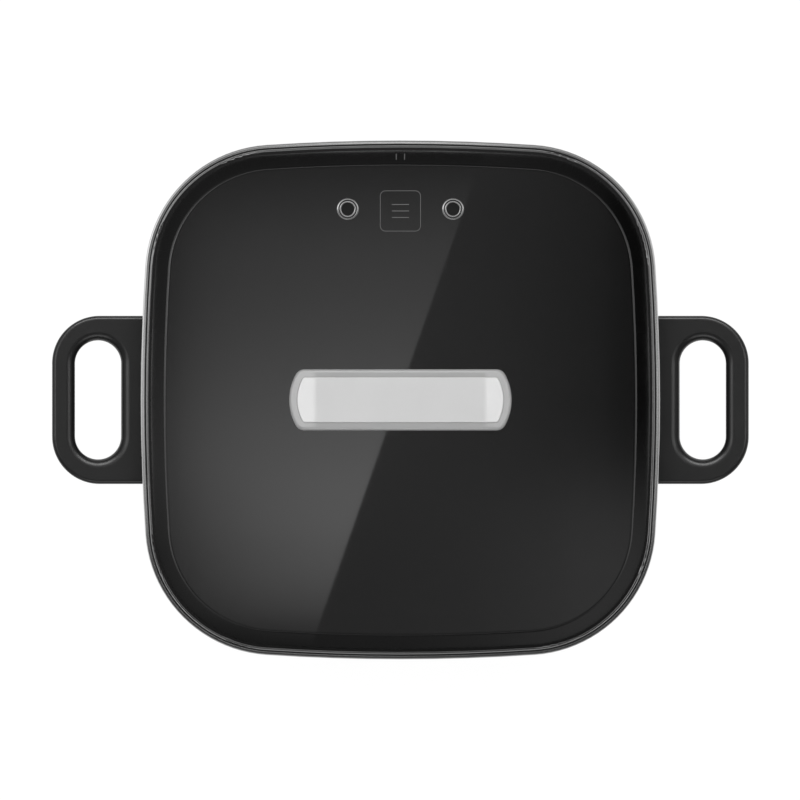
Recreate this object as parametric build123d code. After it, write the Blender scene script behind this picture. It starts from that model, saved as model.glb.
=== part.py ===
from build123d import *
from math import asin, atan, cos, degrees, radians, sin, sqrt, tan
import os

# All sizes are in millimetres. X runs from handle to handle, the knob faces -Y, Z is up.
# The origin is on the table under the middle of the pot.

# Body outline: a square with bowed sides and large corners, tangent all round
half_width = 153.0
side_radius_share = 7.8
corner_radius_share = 0.5

# Clearances and cutting
overrun = 3.0
slip_gap = 0.3
close_gap = 0.1
running_gap = 0.05

# Base housing
foot_height = 5.0
base_inset = 15.0
base_height = 61.0
base_wall = 3.0
base_edge_radius = 2.4
base_lip_radius = 1.6
well_rim = 4.0
well_depth = 9.0
deck_thickness = 2.5
cover_recess = 1.0
cover_thickness = 2.5
cover_boss_radius = 4.5
cover_boss_from_side = 24.0
cover_boss_from_foot = 36.0
vent_slot_length = 34.0
vent_slot_width = 3.0
vent_slot_pitch = 8.0
vent_slot_count = 9
vent_row_from_side = 60.0

# Feet
foot_from_side = 42.0
foot_radius = 10.0
foot_edge_radius = 1.5
foot_stem_radius = 3.0
foot_barb_radius = 4.4
foot_barb_height = 2.0

# Screws: radius of head, height of head, radius of shank, length of shank
small_head_radius = 2.4
small_head_height = 1.6
small_shank_radius = 1.1
small_shank_length = 6.0
medium_head_radius = 3.4
medium_head_height = 2.2
medium_shank_radius = 1.5
medium_shank_length = 10.0
recess_width_share = 0.28
recess_length_share = 1.2
recess_depth_share = 0.5

# Heating plate and its element
plate_from_side = 43.0
plate_rise = 3.0
plate_thickness = 8.0
plate_edge_radius = 1.0
plate_stud_radius = 5.0
plate_stud_count = 3
stop_boss_wall = 7.0
stop_boss_height = 2.5
element_from_edge = 25.0
element_tube_radius = 4.0
element_open_angle = 40.0
element_bend_radius = 9.0
element_leg_below_pan = 3.7
terminal_radius = 1.6
terminal_length = 7.0
seal_lip_width = 6.0
seal_lip_height = 1.5
seal_ring_width = 2.6

# Heat shield pan
shield_from_plate = 5.0
shield_sheet = 0.8
shield_flange_width = 12.5
shield_pad_height = 6.0
shield_pad_radius = 4.5
shield_screw_from_pan = 7.6
shield_screw_count = 4

# Temperature probe in the middle of the plate
probe_hole_radius = 15.0
probe_gap = 0.6
probe_wall = 1.5
probe_sink = 0.2
probe_flange_width = 3.1
probe_flange_height = 1.0
probe_travel = 3.0
guide_radius = 6.0
guide_bore_radius = 4.5
guide_flange_radius = 12.0
guide_flange_height = 1.0
spring_radius = 9.5
spring_wire_radius = 0.6
spring_turns = 6
thermistor_radius = 3.5
thermistor_height = 8.0
fuse_radius = 2.2
fuse_length = 16.0
fuse_from_edge = 55.0
fuse_y = -30.0
clip_sheet = 0.6
clip_width = 6.0
clip_ear = 6.0

# Control panel, knob and their board
panel_width = 84.0
panel_above_deck = 1.5
panel_from_bottom = 11.0
panel_corner_radius = 11.0
panel_flange = 2.2
panel_edge_radius = 0.8
panel_seat_depth = 1.4
panel_border = 4.0
panel_frame_wall = 1.8
hook_width = 9.0
hook_reach = 1.2
hook_depth = 1.6
hook_gap = 0.5
hook_from_edge = 20.0
post_radius = 3.0
post_from_edge = 11.0
post_from_level_edge = 8.0
post_length = 14.6
board_sheet = 1.6
switch_width = 15.0
switch_depth = 9.0
bushing_radius = 4.5
bushing_reach = 2.0
nut_radius = 6.4
nut_height = 1.5
shaft_radius = 3.0
shaft_flat_share = 0.6
knob_radius = 18.0
knob_length = 12.6
knob_lift = 0.6
knob_edge_radius = 1.2
knob_flute_count = 36
knob_flute_radius = 1.0
knob_flute_depth = 0.45
knob_flute_margin = 2.0
knob_cavity_radius = 8.0
knob_cavity_depth = 2.4
knob_front_wall = 3.0
knob_face_border = 3.8
knob_face_height = 1.2
knob_face_proud = 0.3
pointer_width = 1.4
pointer_gap = 0.5
pointer_length = 2.0
pointer_depth = 0.8
lens_radius = 2.2
lens_flange_radius = 3.2
lens_flange_height = 1.0
lens_proud = 0.3
led_radius = 1.5
led_length = 9.0

# Power board on the bottom cover, with its components as length, width and height
power_board_from_side = 76.0
power_board_y = 4.0
power_board_width = 60.0
power_board_length = 84.0
standoff_radius = 3.0
standoff_height = 5.0
standoff_margin = 5.0
relay_size = (19.0, 15.5, 15.0)
relay_place = (-13.0, -20.0)
transformer_size = (24.0, 20.0, 14.0)
transformer_place = (12.0, -6.0)
transformer_leg = 5.0
transformer_bulge = 2.0
capacitor_radius = 5.0
capacitor_height = 13.0
capacitor_place = (-14.0, 4.0)
capacitor_pitch = 12.0
part_room_share = 0.3344
terminal_block_margin = 10.0
terminal_block_depth = 10.0
terminal_block_height = 11.0
terminal_block_from_edge = 9.0
terminal_port_radius = 2.0
terminal_end_wall = 2.0
terminal_port_depth = 4.0

# Power inlet in the rear wall
inlet_centre_z = 30.0
inlet_seat_depth = 0.9
inlet_flange_width = 50.0
inlet_flange_height = 23.0
inlet_flange = 2.0
inlet_flange_radius = 5.0
inlet_cavity_width = 24.6
inlet_cavity_height = 16.6
inlet_cavity_depth = 17.0
inlet_cavity_chamfer = 5.0
inlet_wall = 1.6
inlet_back = 3.6
inlet_screw_in = 5.0
pin_width = 2.0
pin_height = 4.0
pin_length = 14.0
pin_tail = 7.0
pin_spacing = 7.0
pin_row_drop = 2.0

# Inner wiring
wire_radius = 1.2
cable_radius = 1.6
wire_lead = 14.0
near_lane = 20.0
near_lane_z = 15.0
far_lane = 34.0
far_lane_z = 11.5
earth_step = 4.5
cable_start_x = 24.0
cable_start_z = 28.0
cable_end_z = 24.0
cable_place = (0.0, -36.0)

# Pot
pot_height = 89.0
pot_top_inset = 4.0
pot_bottom_inset = 13.0
pot_bottom_radius = 27.0
pot_wall = 2.6
pot_floor = 4.0
pot_flange = 2.5
pot_flange_inset = 1.4
trim_width = 2.4
trim_lip = 0.7
trim_rise = 2.4
trim_outer_radius = 1.1
trim_inner_radius = 0.5

# Side handles of the pot
handle_reach = 52.5
handle_length = 99.2
handle_corner_radius = 28.0
handle_thickness = 15.0
handle_drop = 13.0
handle_top_radius = 2.4
handle_bottom_radius = 3.5
grip_from_side = 14.5
grip_from_edge = 13.4
grip_from_body = 11.8
grip_edge_radius = 5.0
bracket_from_side = 22.6
bracket_height = 9.0
bracket_thickness = 3.2
bracket_tongue = 11.0
bracket_sheet = 2.0
bracket_screw_from_side = 10.0
bracket_screw_in = 6.0

# Lid
gasket_thickness = 0.8
rim_inset = 3.1
rim_width = 2.9
rim_sheet = 0.6
rim_return = 2.4
rim_roll_radius = 0.9
rim_groove_width = 0.5
rim_groove_depth = 0.3
glass_thickness = 4.0
glass_border = 7.6
glass_step = 0.8
glass_step_run = 0.9
gasket_lip_gap = 0.9
gasket_lip_width = 1.8
gasket_lip_depth = 4.0
joint_spacing = 4.9
joint_length = 3.5
joint_groove = 0.5
joint_inset = 8.0

# Steam vents in the lid
vent_x = 31.0
vent_from_edge = 40.6
vent_bore_radius = 3.8
vent_tube_wall = 0.9
vent_flange_radius = 6.5
vent_flange_height = 1.3
vent_under_height = 0.8
vent_dome_radius = 0.8

# Lid handle
grip_bar_length = 130.8
grip_bar_width = 36.0
grip_bar_end_radius = 31.0
grip_bar_corner_radius = 6.0
grip_bar_rise = 31.0
grip_bar_thickness = 9.0
grip_bar_slope_run = 15.4
grip_bar_slope_drop = 3.4
grip_bar_bend_radius = 14.0
grip_bar_edge_radius = 2.2
grip_bar_edge_depth = 5.0
grip_bar_belly_radius = 2.0
leg_from_end = 7.4
leg_length = 21.0
leg_shoulder = 1.0
leg_shoulder_radius = 5.0
leg_arch_radius = 11.0
leg_taper = 4.5
leg_waist_radius = 6.0
pad_thickness = 1.5
pad_margin = 1.0
pad_corner_radius = 5.0
inlay_border = 4.7
inlay_thickness = 2.4
inlay_proud = 0.7
inlay_edge_radius = 0.6
inlay_corner_radius = 2.0
handle_screw_radius = 2.4
handle_screw_head_radius = 4.6
handle_screw_head_height = 2.6
handle_screw_grip = 13.0
washer_radius = 8.0
washer_thickness = 1.2

# Levels worked out from the sizes above
base_top = foot_height + base_height
deck_top = base_top - well_depth
deck_bottom = deck_top - deck_thickness
cover_bottom = foot_height + cover_recess
cover_top = cover_bottom + cover_thickness
plate_top = deck_top + plate_rise
plate_bottom = plate_top - plate_thickness
power_board_top = cover_top + standoff_height + board_sheet
shield_flange_top = deck_bottom - shield_pad_height
shield_floor_top = power_board_top + base_height * part_room_share
shield_floor_bottom = shield_floor_top - shield_sheet
element_leg_length = plate_bottom - element_bend_radius - shield_floor_bottom + element_leg_below_pan
panel_height = deck_bottom + panel_above_deck - foot_height - panel_from_bottom
panel_centre_z = foot_height + panel_from_bottom + panel_height / 2
pot_bottom = plate_top
pot_top = pot_bottom + pot_height
rim_bottom = pot_top + gasket_thickness
glass_bottom = rim_bottom + rim_sheet
border_top = glass_bottom + glass_thickness
rim_top = border_top + rim_sheet
panel_top = border_top + glass_step
panel_under = glass_bottom + glass_step
bar_top = panel_top + grip_bar_rise

handle_low = pot_top - handle_drop - handle_thickness
leg_foot = panel_top + pad_thickness
glass_edge = rim_inset + rim_sheet + running_gap
panel_edge = rim_inset + rim_width + glass_border

# Places on the base, worked out from its side
side_face = half_width - base_inset
foot_place = side_face - foot_from_side
cover_boss_x = side_face - cover_boss_from_side
cover_boss_y = foot_place - cover_boss_from_foot
vent_row_y = side_face - vent_row_from_side
plate_radius = side_face - plate_from_side
stop_boss_radius = probe_hole_radius + stop_boss_wall
probe_radius = probe_hole_radius - probe_gap
probe_flange_radius = probe_radius + probe_flange_width
element_circle = plate_radius - element_from_edge
plate_stud_circle = (stop_boss_radius + element_circle - element_tube_radius) / 2
shield_radius = plate_radius + shield_from_plate
shield_screw_circle = shield_radius + shield_screw_from_pan
fuse_x = fuse_from_edge - plate_radius
power_board_x = power_board_from_side - side_face

# Places on the control panel, the power board and the inlet
post_x = panel_width / 2 - post_from_edge
post_y = panel_height / 2 - post_from_level_edge
hook_x = panel_width / 2 - hook_from_edge
knob_face_radius = knob_radius - knob_face_border
terminal_block_width = power_board_width - 2 * terminal_block_margin
terminal_block_place = (0.0, power_board_length / 2 - terminal_block_from_edge)
terminal_port_pitch = (terminal_block_width - 2 * terminal_end_wall) / 4
inlet_screw_x = inlet_flange_width / 2 - inlet_screw_in

# Places on the handles and the lid
grip_width = handle_reach - grip_from_edge - grip_from_body
grip_length = handle_length - 2 * grip_from_side
bracket_length = handle_length - 2 * bracket_from_side
bracket_screw_y = bracket_length / 2 - bracket_screw_from_side
vent_y = half_width - vent_from_edge
grip_bar_slope_start = grip_bar_length / 2 - grip_bar_slope_run
leg_outer_x = grip_bar_length / 2 - leg_from_end
leg_inner_x = leg_outer_x - leg_length
leg_width = grip_bar_width - 2 * leg_taper
handle_screw_x = (leg_inner_x + leg_outer_x) / 2

# Faces that the front and rear fittings sit on
panel_seat_y = side_face - panel_seat_depth
panel_front_y = panel_seat_y + panel_flange
panel_frame_depth = base_wall - panel_seat_depth + hook_gap + hook_depth
board_front_y = panel_seat_y - post_length
inlet_seat_y = side_face - inlet_seat_depth

side_radius = side_radius_share * half_width
corner_radius = corner_radius_share * half_width
join_share = (half_width - corner_radius) / (side_radius - corner_radius)
join_angle = 45 - degrees(asin((1 - join_share) / sqrt(2)))
corner_centre = (side_radius - corner_radius) * sin(radians(join_angle))
pot_draft = degrees(atan((pot_bottom_inset - pot_top_inset) / pot_height))

bracket_centre_z = handle_low + handle_thickness / 2
bracket_wall_x = half_width - pot_bottom_inset + (bracket_centre_z - pot_bottom) * tan(radians(pot_draft))
bracket_screw_x = bracket_wall_x + bracket_screw_in
bracket_screw_level = handle_low + medium_head_height + slip_gap


def outline(inset, z=0.0):
    """The body's plan outline, moved inwards by inset, as a face at height z."""
    arcs = []
    for turn in (0, 90, 180, 270):
        side_centre = Vector(half_width - side_radius, 0).rotate(Axis.Z, turn)
        corner = Vector(corner_centre, corner_centre).rotate(Axis.Z, turn)
        arcs.append(CenterArc(side_centre, side_radius - inset, turn - join_angle, 2 * join_angle))
        arcs.append(CenterArc(corner, corner_radius - inset, turn + join_angle, 90 - 2 * join_angle))
    return Pos(0, 0, z) * make_face(Wire(arcs))


def slab(inset, low, high):
    """The body outline as a straight block between two heights."""
    return extrude(outline(inset, low), amount=high - low)


def cylinder(radius, low, high, x=0.0, y=0.0):
    return Pos(x, y, low) * Cylinder(radius, high - low, align=(Align.CENTER, Align.CENTER, Align.MIN))


def block(width, length, height, x=0.0, y=0.0, z=0.0):
    """A box centred on x and y, standing on z."""
    return Pos(x, y, z) * Box(width, length, height, align=(Align.CENTER, Align.CENTER, Align.MIN))


def front(y, x=0.0, z=panel_centre_z):
    """A frame on the front side whose own Z points out at the user."""
    return Pos(x, -y, z) * Rot(90, 0, 0)


def rear(y, x=0.0, z=inlet_centre_z):
    """A frame on the rear side whose own Z points away from the body."""
    return Pos(x, y, z) * Rot(0, 0, 180) * Rot(90, 0, 0)


def turned(points):
    """A solid of revolution about Z from an outline of (radius, height) points."""
    return revolve(make_face(Polyline(*[(r, 0, z) for r, z in points], close=True)), Axis.Z)


def corners(x, y):
    return [(x, y), (-x, y), (-x, -y), (x, -y)]


def circle_places(radius, count, start=0):
    return [Vector(radius, 0).rotate(Axis.Z, start + 360 * i / count) for i in range(count)]


def screw(head_radius, head_height, shank_radius, shank_length):
    """A pan-head screw pointing up, with its head just below Z = 0 and a cross recess."""
    head = Pos(0, 0, -head_height) * cylinder(head_radius, 0, head_height)
    head = fillet(head.edges().sort_by(Axis.Z)[0], head_height / 3)
    recess_depth = head_height * recess_depth_share
    long_side = head_radius * recess_length_share
    short_side = head_radius * recess_width_share
    for width, length in ((long_side, short_side), (short_side, long_side)):
        head -= block(width, length, recess_depth, z=-head_height)
    return head + cylinder(shank_radius, 0, shank_length)


def small_screw():
    return screw(small_head_radius, small_head_height, small_shank_radius, small_shank_length)


def medium_screw():
    return screw(medium_head_radius, medium_head_height, medium_shank_radius, medium_shank_length)


def group(items):
    """Several separate solids as one node."""
    return Compound(children=[solid for item in items for solid in item.solids()])


def pot_inset(z):
    """Inset of the pot's outer wall at height z."""
    return pot_bottom_inset - (z - pot_bottom) * tan(radians(pot_draft))


def pot_envelope(grow):
    """The pot's outer wall as a full block, grown outwards, from its bottom to its flange."""
    return extrude(outline(pot_bottom_inset - grow, pot_bottom), amount=pot_height, taper=-pot_draft)


# Base

def base_housing():
    shell = slab(base_inset, foot_height, base_top)
    shell = fillet(shell.faces().sort_by(Axis.Z)[0].edges(), base_edge_radius)
    shell = fillet(shell.faces().sort_by(Axis.Z)[-1].edges(), base_lip_radius)
    shell -= slab(base_inset + base_wall, foot_height - overrun, deck_bottom)
    shell -= slab(base_inset + well_rim, deck_top, base_top + overrun)
    plate_hole_radius = plate_radius + seal_ring_width + 2 * close_gap
    shell -= cylinder(plate_hole_radius, deck_bottom - overrun, deck_top + overrun)
    for x, y in corners(cover_boss_x, cover_boss_y):
        shell += cylinder(cover_boss_radius, cover_top, deck_bottom, x, y)
        shell -= cylinder(medium_shank_radius + running_gap, cover_top - overrun,
                          cover_top + medium_shank_length, x, y)
    for place in circle_places(shield_screw_circle, shield_screw_count, 45):
        shell += cylinder(shield_pad_radius, shield_flange_top, deck_bottom, place.X, place.Y)
        shell -= cylinder(small_shank_radius + running_gap, shield_flange_top - overrun,
                          shield_flange_top + small_shank_length, place.X, place.Y)
    seat = RectangleRounded(panel_width + 2 * slip_gap, panel_height + 2 * slip_gap, panel_corner_radius)
    shell -= front(panel_seat_y) * extrude(seat, amount=panel_seat_depth + overrun)
    opening = RectangleRounded(panel_width - 2 * panel_border + 2 * slip_gap,
                               panel_height - 2 * panel_border + 2 * slip_gap,
                               panel_corner_radius - panel_border)
    shell -= front(panel_seat_y - base_wall - overrun) * extrude(opening, amount=base_wall + 2 * overrun)
    inlet_seat = RectangleRounded(inlet_flange_width + 2 * slip_gap, inlet_flange_height + 2 * slip_gap,
                                  inlet_flange_radius)
    shell -= rear(inlet_seat_y) * extrude(inlet_seat, amount=inlet_seat_depth + overrun)
    hole = inlet_shape(inlet_wall + slip_gap)
    shell -= rear(inlet_seat_y - base_wall - overrun) * extrude(hole, amount=base_wall + 2 * overrun)
    for x in (inlet_screw_x, -inlet_screw_x):
        shell -= rear(inlet_seat_y - base_wall - overrun, x) * cylinder(
            small_shank_radius + running_gap, 0, base_wall + 2 * overrun)
    return shell


def bottom_cover():
    cover = slab(base_inset + base_wall + slip_gap, cover_bottom, cover_top)
    for x, y in corners(cover_boss_x, cover_boss_y):
        cover -= cylinder(medium_shank_radius + slip_gap, cover_bottom - overrun, cover_top + overrun, x, y)
    for x, y in corners(foot_place, foot_place):
        cover -= cylinder(foot_stem_radius + close_gap, cover_bottom - overrun, cover_top + overrun, x, y)
    slot = SlotOverall(vent_slot_length, vent_slot_width, rotation=90)
    for row in (vent_row_y, -vent_row_y):
        for i in range(vent_slot_count):
            x = (i - (vent_slot_count - 1) / 2) * vent_slot_pitch
            cover -= Pos(x, row, cover_bottom - overrun) * extrude(slot, amount=cover_thickness + 2 * overrun)
    half_w = power_board_width / 2 - standoff_margin
    half_l = power_board_length / 2 - standoff_margin
    for x, y in corners(half_w, half_l):
        at = (power_board_x + x, power_board_y + y)
        cover += cylinder(standoff_radius, cover_top, cover_top + standoff_height, *at)
        cover -= cylinder(small_shank_radius + running_gap, cover_bottom + small_head_height,
                          cover_top + standoff_height + overrun, *at)
    return cover


def rubber_feet():
    feet = []
    for x, y in corners(foot_place, foot_place):
        pad = cylinder(foot_radius, 0, cover_bottom)
        pad = fillet(pad.edges().sort_by(Axis.Z)[0], foot_edge_radius)
        pad += cylinder(foot_stem_radius, cover_bottom, cover_top)
        pad += cylinder(foot_barb_radius, cover_top, cover_top + foot_barb_height)
        feet.append(Pos(x, y, 0) * pad)
    return group(feet)


def cover_screws():
    return group([Pos(x, y, cover_bottom) * medium_screw() for x, y in corners(cover_boss_x, cover_boss_y)])


def element_path():
    """Centre line of the tubular element: leg, bend, open ring, bend, leg."""
    lift = plate_bottom
    start = 90 + element_open_angle / 2
    sweep_angle = 360 - element_open_angle
    edges = [CenterArc((0, 0, lift), element_circle, start, sweep_angle)]
    for angle, way in ((start, -1), (start + sweep_angle, 1)):
        end = Vector(element_circle, 0, lift).rotate(Axis.Z, angle)
        along = Vector(0, way, 0).rotate(Axis.Z, angle)
        bend = element_bend_radius
        middle = end + along * (bend * sin(radians(45))) - Vector(0, 0, bend * (1 - cos(radians(45))))
        low = end + along * bend - Vector(0, 0, bend)
        edges.append(ThreePointArc(end, middle, low))
        edges.append(Line(low, low - Vector(0, 0, element_leg_length)))
    return Wire(edges)


def element_leg_places():
    """Foot of each element leg, from the ring's end, its bend and its leg."""
    places = []
    for angle, way in ((90 + element_open_angle / 2, -1), (90 - element_open_angle / 2, 1)):
        end = Vector(element_circle, 0, plate_bottom).rotate(Axis.Z, angle)
        along = Vector(0, way, 0).rotate(Axis.Z, angle)
        drop = Vector(0, 0, element_bend_radius + element_leg_length)
        places.append(end + along * element_bend_radius - drop)
    return places


def element_tube(radius):
    path = element_path()
    section = Plane(origin=path @ 0, z_dir=path % 0) * Circle(radius)
    return sweep(section, path=path)


def heating_element():
    return element_tube(element_tube_radius)


def element_terminals():
    return group([cylinder(terminal_radius, place.Z - terminal_length, place.Z, place.X, place.Y)
                  for place in element_leg_places()])


def heating_plate():
    plate = cylinder(plate_radius, plate_bottom, plate_top)
    plate = fillet(plate.edges().sort_by(Axis.Z)[-1], plate_edge_radius)
    plate += cylinder(stop_boss_radius, plate_bottom - stop_boss_height, plate_bottom)
    for place in circle_places(plate_stud_circle, plate_stud_count, 270):
        plate += cylinder(plate_stud_radius, shield_floor_top, plate_bottom, place.X, place.Y)
        plate -= cylinder(medium_shank_radius + running_gap, shield_floor_top - overrun,
                          shield_floor_bottom + medium_shank_length + slip_gap, place.X, place.Y)
    plate -= cylinder(probe_hole_radius, plate_bottom - stop_boss_height - overrun, plate_top + overrun)
    plate -= element_tube(element_tube_radius + close_gap)
    return plate


def plate_seal():
    inner = plate_radius + close_gap
    outer = inner + seal_ring_width
    return turned([(inner, deck_bottom), (outer, deck_bottom), (outer, deck_top),
                   (inner + seal_lip_width, deck_top), (inner + seal_lip_width, deck_top + seal_lip_height),
                   (inner, deck_top + seal_lip_height)])


def heat_shield():
    inner = shield_radius
    outer = inner + shield_sheet
    edge = outer + shield_flange_width
    flange_bottom = shield_flange_top - shield_sheet
    pan = turned([(0, shield_floor_bottom), (outer, shield_floor_bottom), (outer, flange_bottom),
                  (edge, flange_bottom), (edge, shield_flange_top), (inner, shield_flange_top),
                  (inner, shield_floor_top), (0, shield_floor_top)])
    for place in circle_places(shield_screw_circle, shield_screw_count, 45):
        pan -= cylinder(small_shank_radius + slip_gap, flange_bottom - overrun,
                        shield_flange_top + overrun, place.X, place.Y)
    for place in circle_places(plate_stud_circle, plate_stud_count, 270):
        pan -= cylinder(medium_shank_radius + slip_gap, shield_floor_bottom - overrun,
                        shield_floor_top + overrun, place.X, place.Y)
    for place in element_leg_places():
        pan -= cylinder(element_tube_radius + 2 * slip_gap, shield_floor_bottom - overrun,
                        shield_floor_top + overrun, place.X, place.Y)
    pan -= cylinder(guide_bore_radius, shield_floor_bottom - overrun, shield_floor_top + overrun)
    return pan


def shield_screws():
    level = shield_flange_top - shield_sheet
    return group([Pos(place.X, place.Y, level) * small_screw()
                  for place in circle_places(shield_screw_circle, shield_screw_count, 45)])


def plate_screws():
    return group([Pos(place.X, place.Y, shield_floor_bottom) * medium_screw()
                  for place in circle_places(plate_stud_circle, plate_stud_count, 270)])


def probe_guide():
    flange_top = shield_floor_top + guide_flange_height
    tube_top = plate_top - probe_sink - probe_wall - thermistor_height - probe_travel
    return turned([(guide_bore_radius, shield_floor_top), (guide_flange_radius, shield_floor_top),
                   (guide_flange_radius, flange_top), (guide_radius, flange_top),
                   (guide_radius, tube_top), (guide_bore_radius, tube_top)])


def thermal_fuse():
    capsule = Cylinder(fuse_radius, fuse_length, rotation=(0, 90, 0))
    return Pos(fuse_x, fuse_y, shield_floor_bottom - fuse_radius - close_gap) * capsule


def fuse_clip():
    """A sheet strap that goes round the fuse and lies against the pan on both sides."""
    wrap = fuse_radius + close_gap
    outer = wrap + clip_sheet
    low = (Align.CENTER, Align.MIN)
    strap = Circle(outer) + Rectangle(2 * outer, wrap, align=low)
    strap += Pos(0, wrap - clip_sheet) * Rectangle(2 * (outer + clip_ear), clip_sheet, align=low)
    strap -= Circle(wrap)
    strap -= Rectangle(2 * wrap, wrap + clip_sheet, align=low)
    strap -= Pos(0, wrap) * Rectangle(2 * outer, outer, align=low)
    strap = extrude(Plane.YZ * strap, amount=clip_width / 2, both=True)
    return Pos(fuse_x, fuse_y, shield_floor_bottom - wrap) * strap


# Temperature probe

def probe_cap():
    top = plate_top - probe_sink
    low = plate_bottom - stop_boss_height - slip_gap - probe_flange_height
    inner = probe_radius - probe_wall
    cap = turned([(0, top - probe_wall), (inner, top - probe_wall), (inner, low), (probe_flange_radius, low),
                  (probe_flange_radius, low + probe_flange_height), (probe_radius, low + probe_flange_height),
                  (probe_radius, top), (0, top)])
    return fillet(cap.edges().filter_by(GeomType.CIRCLE).sort_by(Axis.Z)[-1], probe_wall / 2)


def thermistor():
    top = plate_top - probe_sink - probe_wall
    return cylinder(thermistor_radius, top - thermistor_height, top)


def probe_spring():
    low = shield_floor_top + guide_flange_height + spring_wire_radius + running_gap
    high = plate_top - probe_sink - probe_wall - spring_wire_radius - running_gap
    path = Helix(pitch=(high - low) / spring_turns, height=high - low, radius=spring_radius)
    section = Plane(origin=path @ 0, z_dir=path % 0) * Circle(spring_wire_radius)
    return Pos(0, 0, low) * sweep(section, path=path)


# Control panel

def control_panel():
    frame_width = panel_width - 2 * panel_border
    frame_height = panel_height - 2 * panel_border
    frame_radius = panel_corner_radius - panel_border
    face = extrude(RectangleRounded(panel_width, panel_height, panel_corner_radius), amount=panel_flange)
    face = fillet(face.faces().sort_by(Axis.Z)[-1].edges(), panel_edge_radius)
    frame = RectangleRounded(frame_width, frame_height, frame_radius)
    frame -= RectangleRounded(frame_width - 2 * panel_frame_wall, frame_height - 2 * panel_frame_wall,
                              frame_radius - panel_frame_wall)
    face += Pos(0, 0, -panel_frame_depth) * extrude(frame, amount=panel_frame_depth)
    for x, y in corners(post_x, post_y):
        face += cylinder(post_radius, -post_length, 0, x, y)
        face -= cylinder(small_shank_radius + running_gap, -post_length - overrun,
                         small_shank_length - post_length, x, y)
    for x, side in ((hook_x, 1), (-hook_x, 1), (hook_x, -1), (-hook_x, -1)):
        reach = hook_reach + panel_frame_wall
        y = side * (frame_height / 2 + hook_reach - reach / 2)
        face += block(hook_width, reach, hook_depth, x, y, -panel_frame_depth)
    face -= cylinder(bushing_radius + close_gap, -overrun, panel_flange + overrun)
    face -= cylinder(lens_radius + close_gap, -overrun, panel_flange + overrun, post_x)
    return front(panel_seat_y) * face


def control_board():
    board = Rectangle(panel_width - 2 * panel_border, panel_height - 2 * panel_border)
    board = extrude(board, amount=-board_sheet)
    for x, y in corners(post_x, post_y):
        board -= cylinder(small_shank_radius + slip_gap, -board_sheet - overrun, overrun, x, y)
    return front(board_front_y) * board


def control_board_screws():
    flipped = Pos(0, 0, -board_sheet) * small_screw()
    return group([front(board_front_y) * Pos(x, y, 0) * flipped for x, y in corners(post_x, post_y)])


def rotary_switch():
    body = block(switch_width, switch_width, switch_depth)
    top = post_length + panel_flange + bushing_reach
    body += cylinder(bushing_radius, switch_depth, top)
    body -= cylinder(shaft_radius + running_gap, switch_depth - overrun, top + overrun)
    return front(board_front_y) * body


def switch_nut():
    nut = extrude(RegularPolygon(nut_radius, 6) - Circle(bushing_radius + close_gap), amount=nut_height)
    return front(panel_front_y) * nut


def indicator_lens():
    lens = cylinder(lens_flange_radius, -lens_flange_height, 0)
    lens += cylinder(lens_radius, 0, panel_flange + lens_proud)
    lens = fillet(lens.edges().sort_by(Axis.Z)[-1], lens_radius / 2)
    return front(panel_seat_y, post_x) * lens


def indicator_led():
    led = cylinder(led_radius, 0, led_length)
    led = fillet(led.edges().sort_by(Axis.Z)[-1], led_radius * 0.8)
    return front(board_front_y, post_x) * led


def control_knob():
    low = knob_lift
    high = knob_lift + knob_length
    knob = cylinder(knob_radius, low, high)
    knob = fillet(knob.edges().filter_by(GeomType.CIRCLE).sort_by(Axis.Z)[-1], knob_edge_radius)
    for place in circle_places(knob_radius + knob_flute_radius - knob_flute_depth, knob_flute_count):
        knob -= cylinder(knob_flute_radius, low - overrun, high - knob_flute_margin, place.X, place.Y)
    knob -= cylinder(knob_cavity_radius, low - overrun, low + knob_cavity_depth)
    knob -= cylinder(knob_face_radius + close_gap, high + knob_face_proud - knob_face_height, high + overrun)
    knob -= shaft_section(running_gap, low, high - knob_front_wall)
    knob -= pointer_block(close_gap)
    return front(panel_front_y) * knob


def shaft_section(grow, low, high):
    """The knob shaft with its flat, between two distances from the panel face."""
    rod = cylinder(shaft_radius + grow, low, high)
    flat_y = shaft_radius * shaft_flat_share + grow
    return rod - block(4 * shaft_radius, 2 * shaft_radius, high - low + 2 * overrun,
                       y=flat_y + shaft_radius, z=low - overrun)


def pointer_block(grow):
    """The white index mark let into the knob's front at the top."""
    start = knob_face_radius + pointer_gap
    high = knob_lift + knob_length
    return block(pointer_width + 2 * grow, pointer_length + 2 * grow, pointer_depth,
                 y=start + pointer_length / 2, z=high - pointer_depth)


def knob_pointer():
    return front(panel_front_y) * pointer_block(0)


def knob_face():
    high = knob_lift + knob_length + knob_face_proud
    face = cylinder(knob_face_radius, high - knob_face_height, high)
    return front(panel_front_y) * fillet(face.edges().sort_by(Axis.Z)[-1], knob_face_proud)


def knob_shaft():
    deep = switch_depth - post_length - panel_flange
    round_part = cylinder(shaft_radius, deep, knob_lift + knob_cavity_depth)
    flat_part = shaft_section(0, knob_lift + knob_cavity_depth, knob_lift + knob_length - knob_front_wall)
    return front(panel_front_y) * (round_part + flat_part)


# Power board

def on_board(place):
    return (power_board_x + place[0], power_board_y + place[1])


def power_board():
    board = block(power_board_width, power_board_length, board_sheet, power_board_x, power_board_y,
                  cover_top + standoff_height)
    for x, y in power_board_holes():
        board -= cylinder(small_shank_radius + slip_gap, cover_top, power_board_top + overrun, x, y)
    return board


def power_board_holes():
    half_w = power_board_width / 2 - standoff_margin
    half_l = power_board_length / 2 - standoff_margin
    return [(power_board_x + x, power_board_y + y) for x, y in corners(half_w, half_l)]


def power_board_screws():
    flipped = Rot(180, 0, 0) * small_screw()
    return group([Pos(x, y, power_board_top) * flipped for x, y in power_board_holes()])


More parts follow.
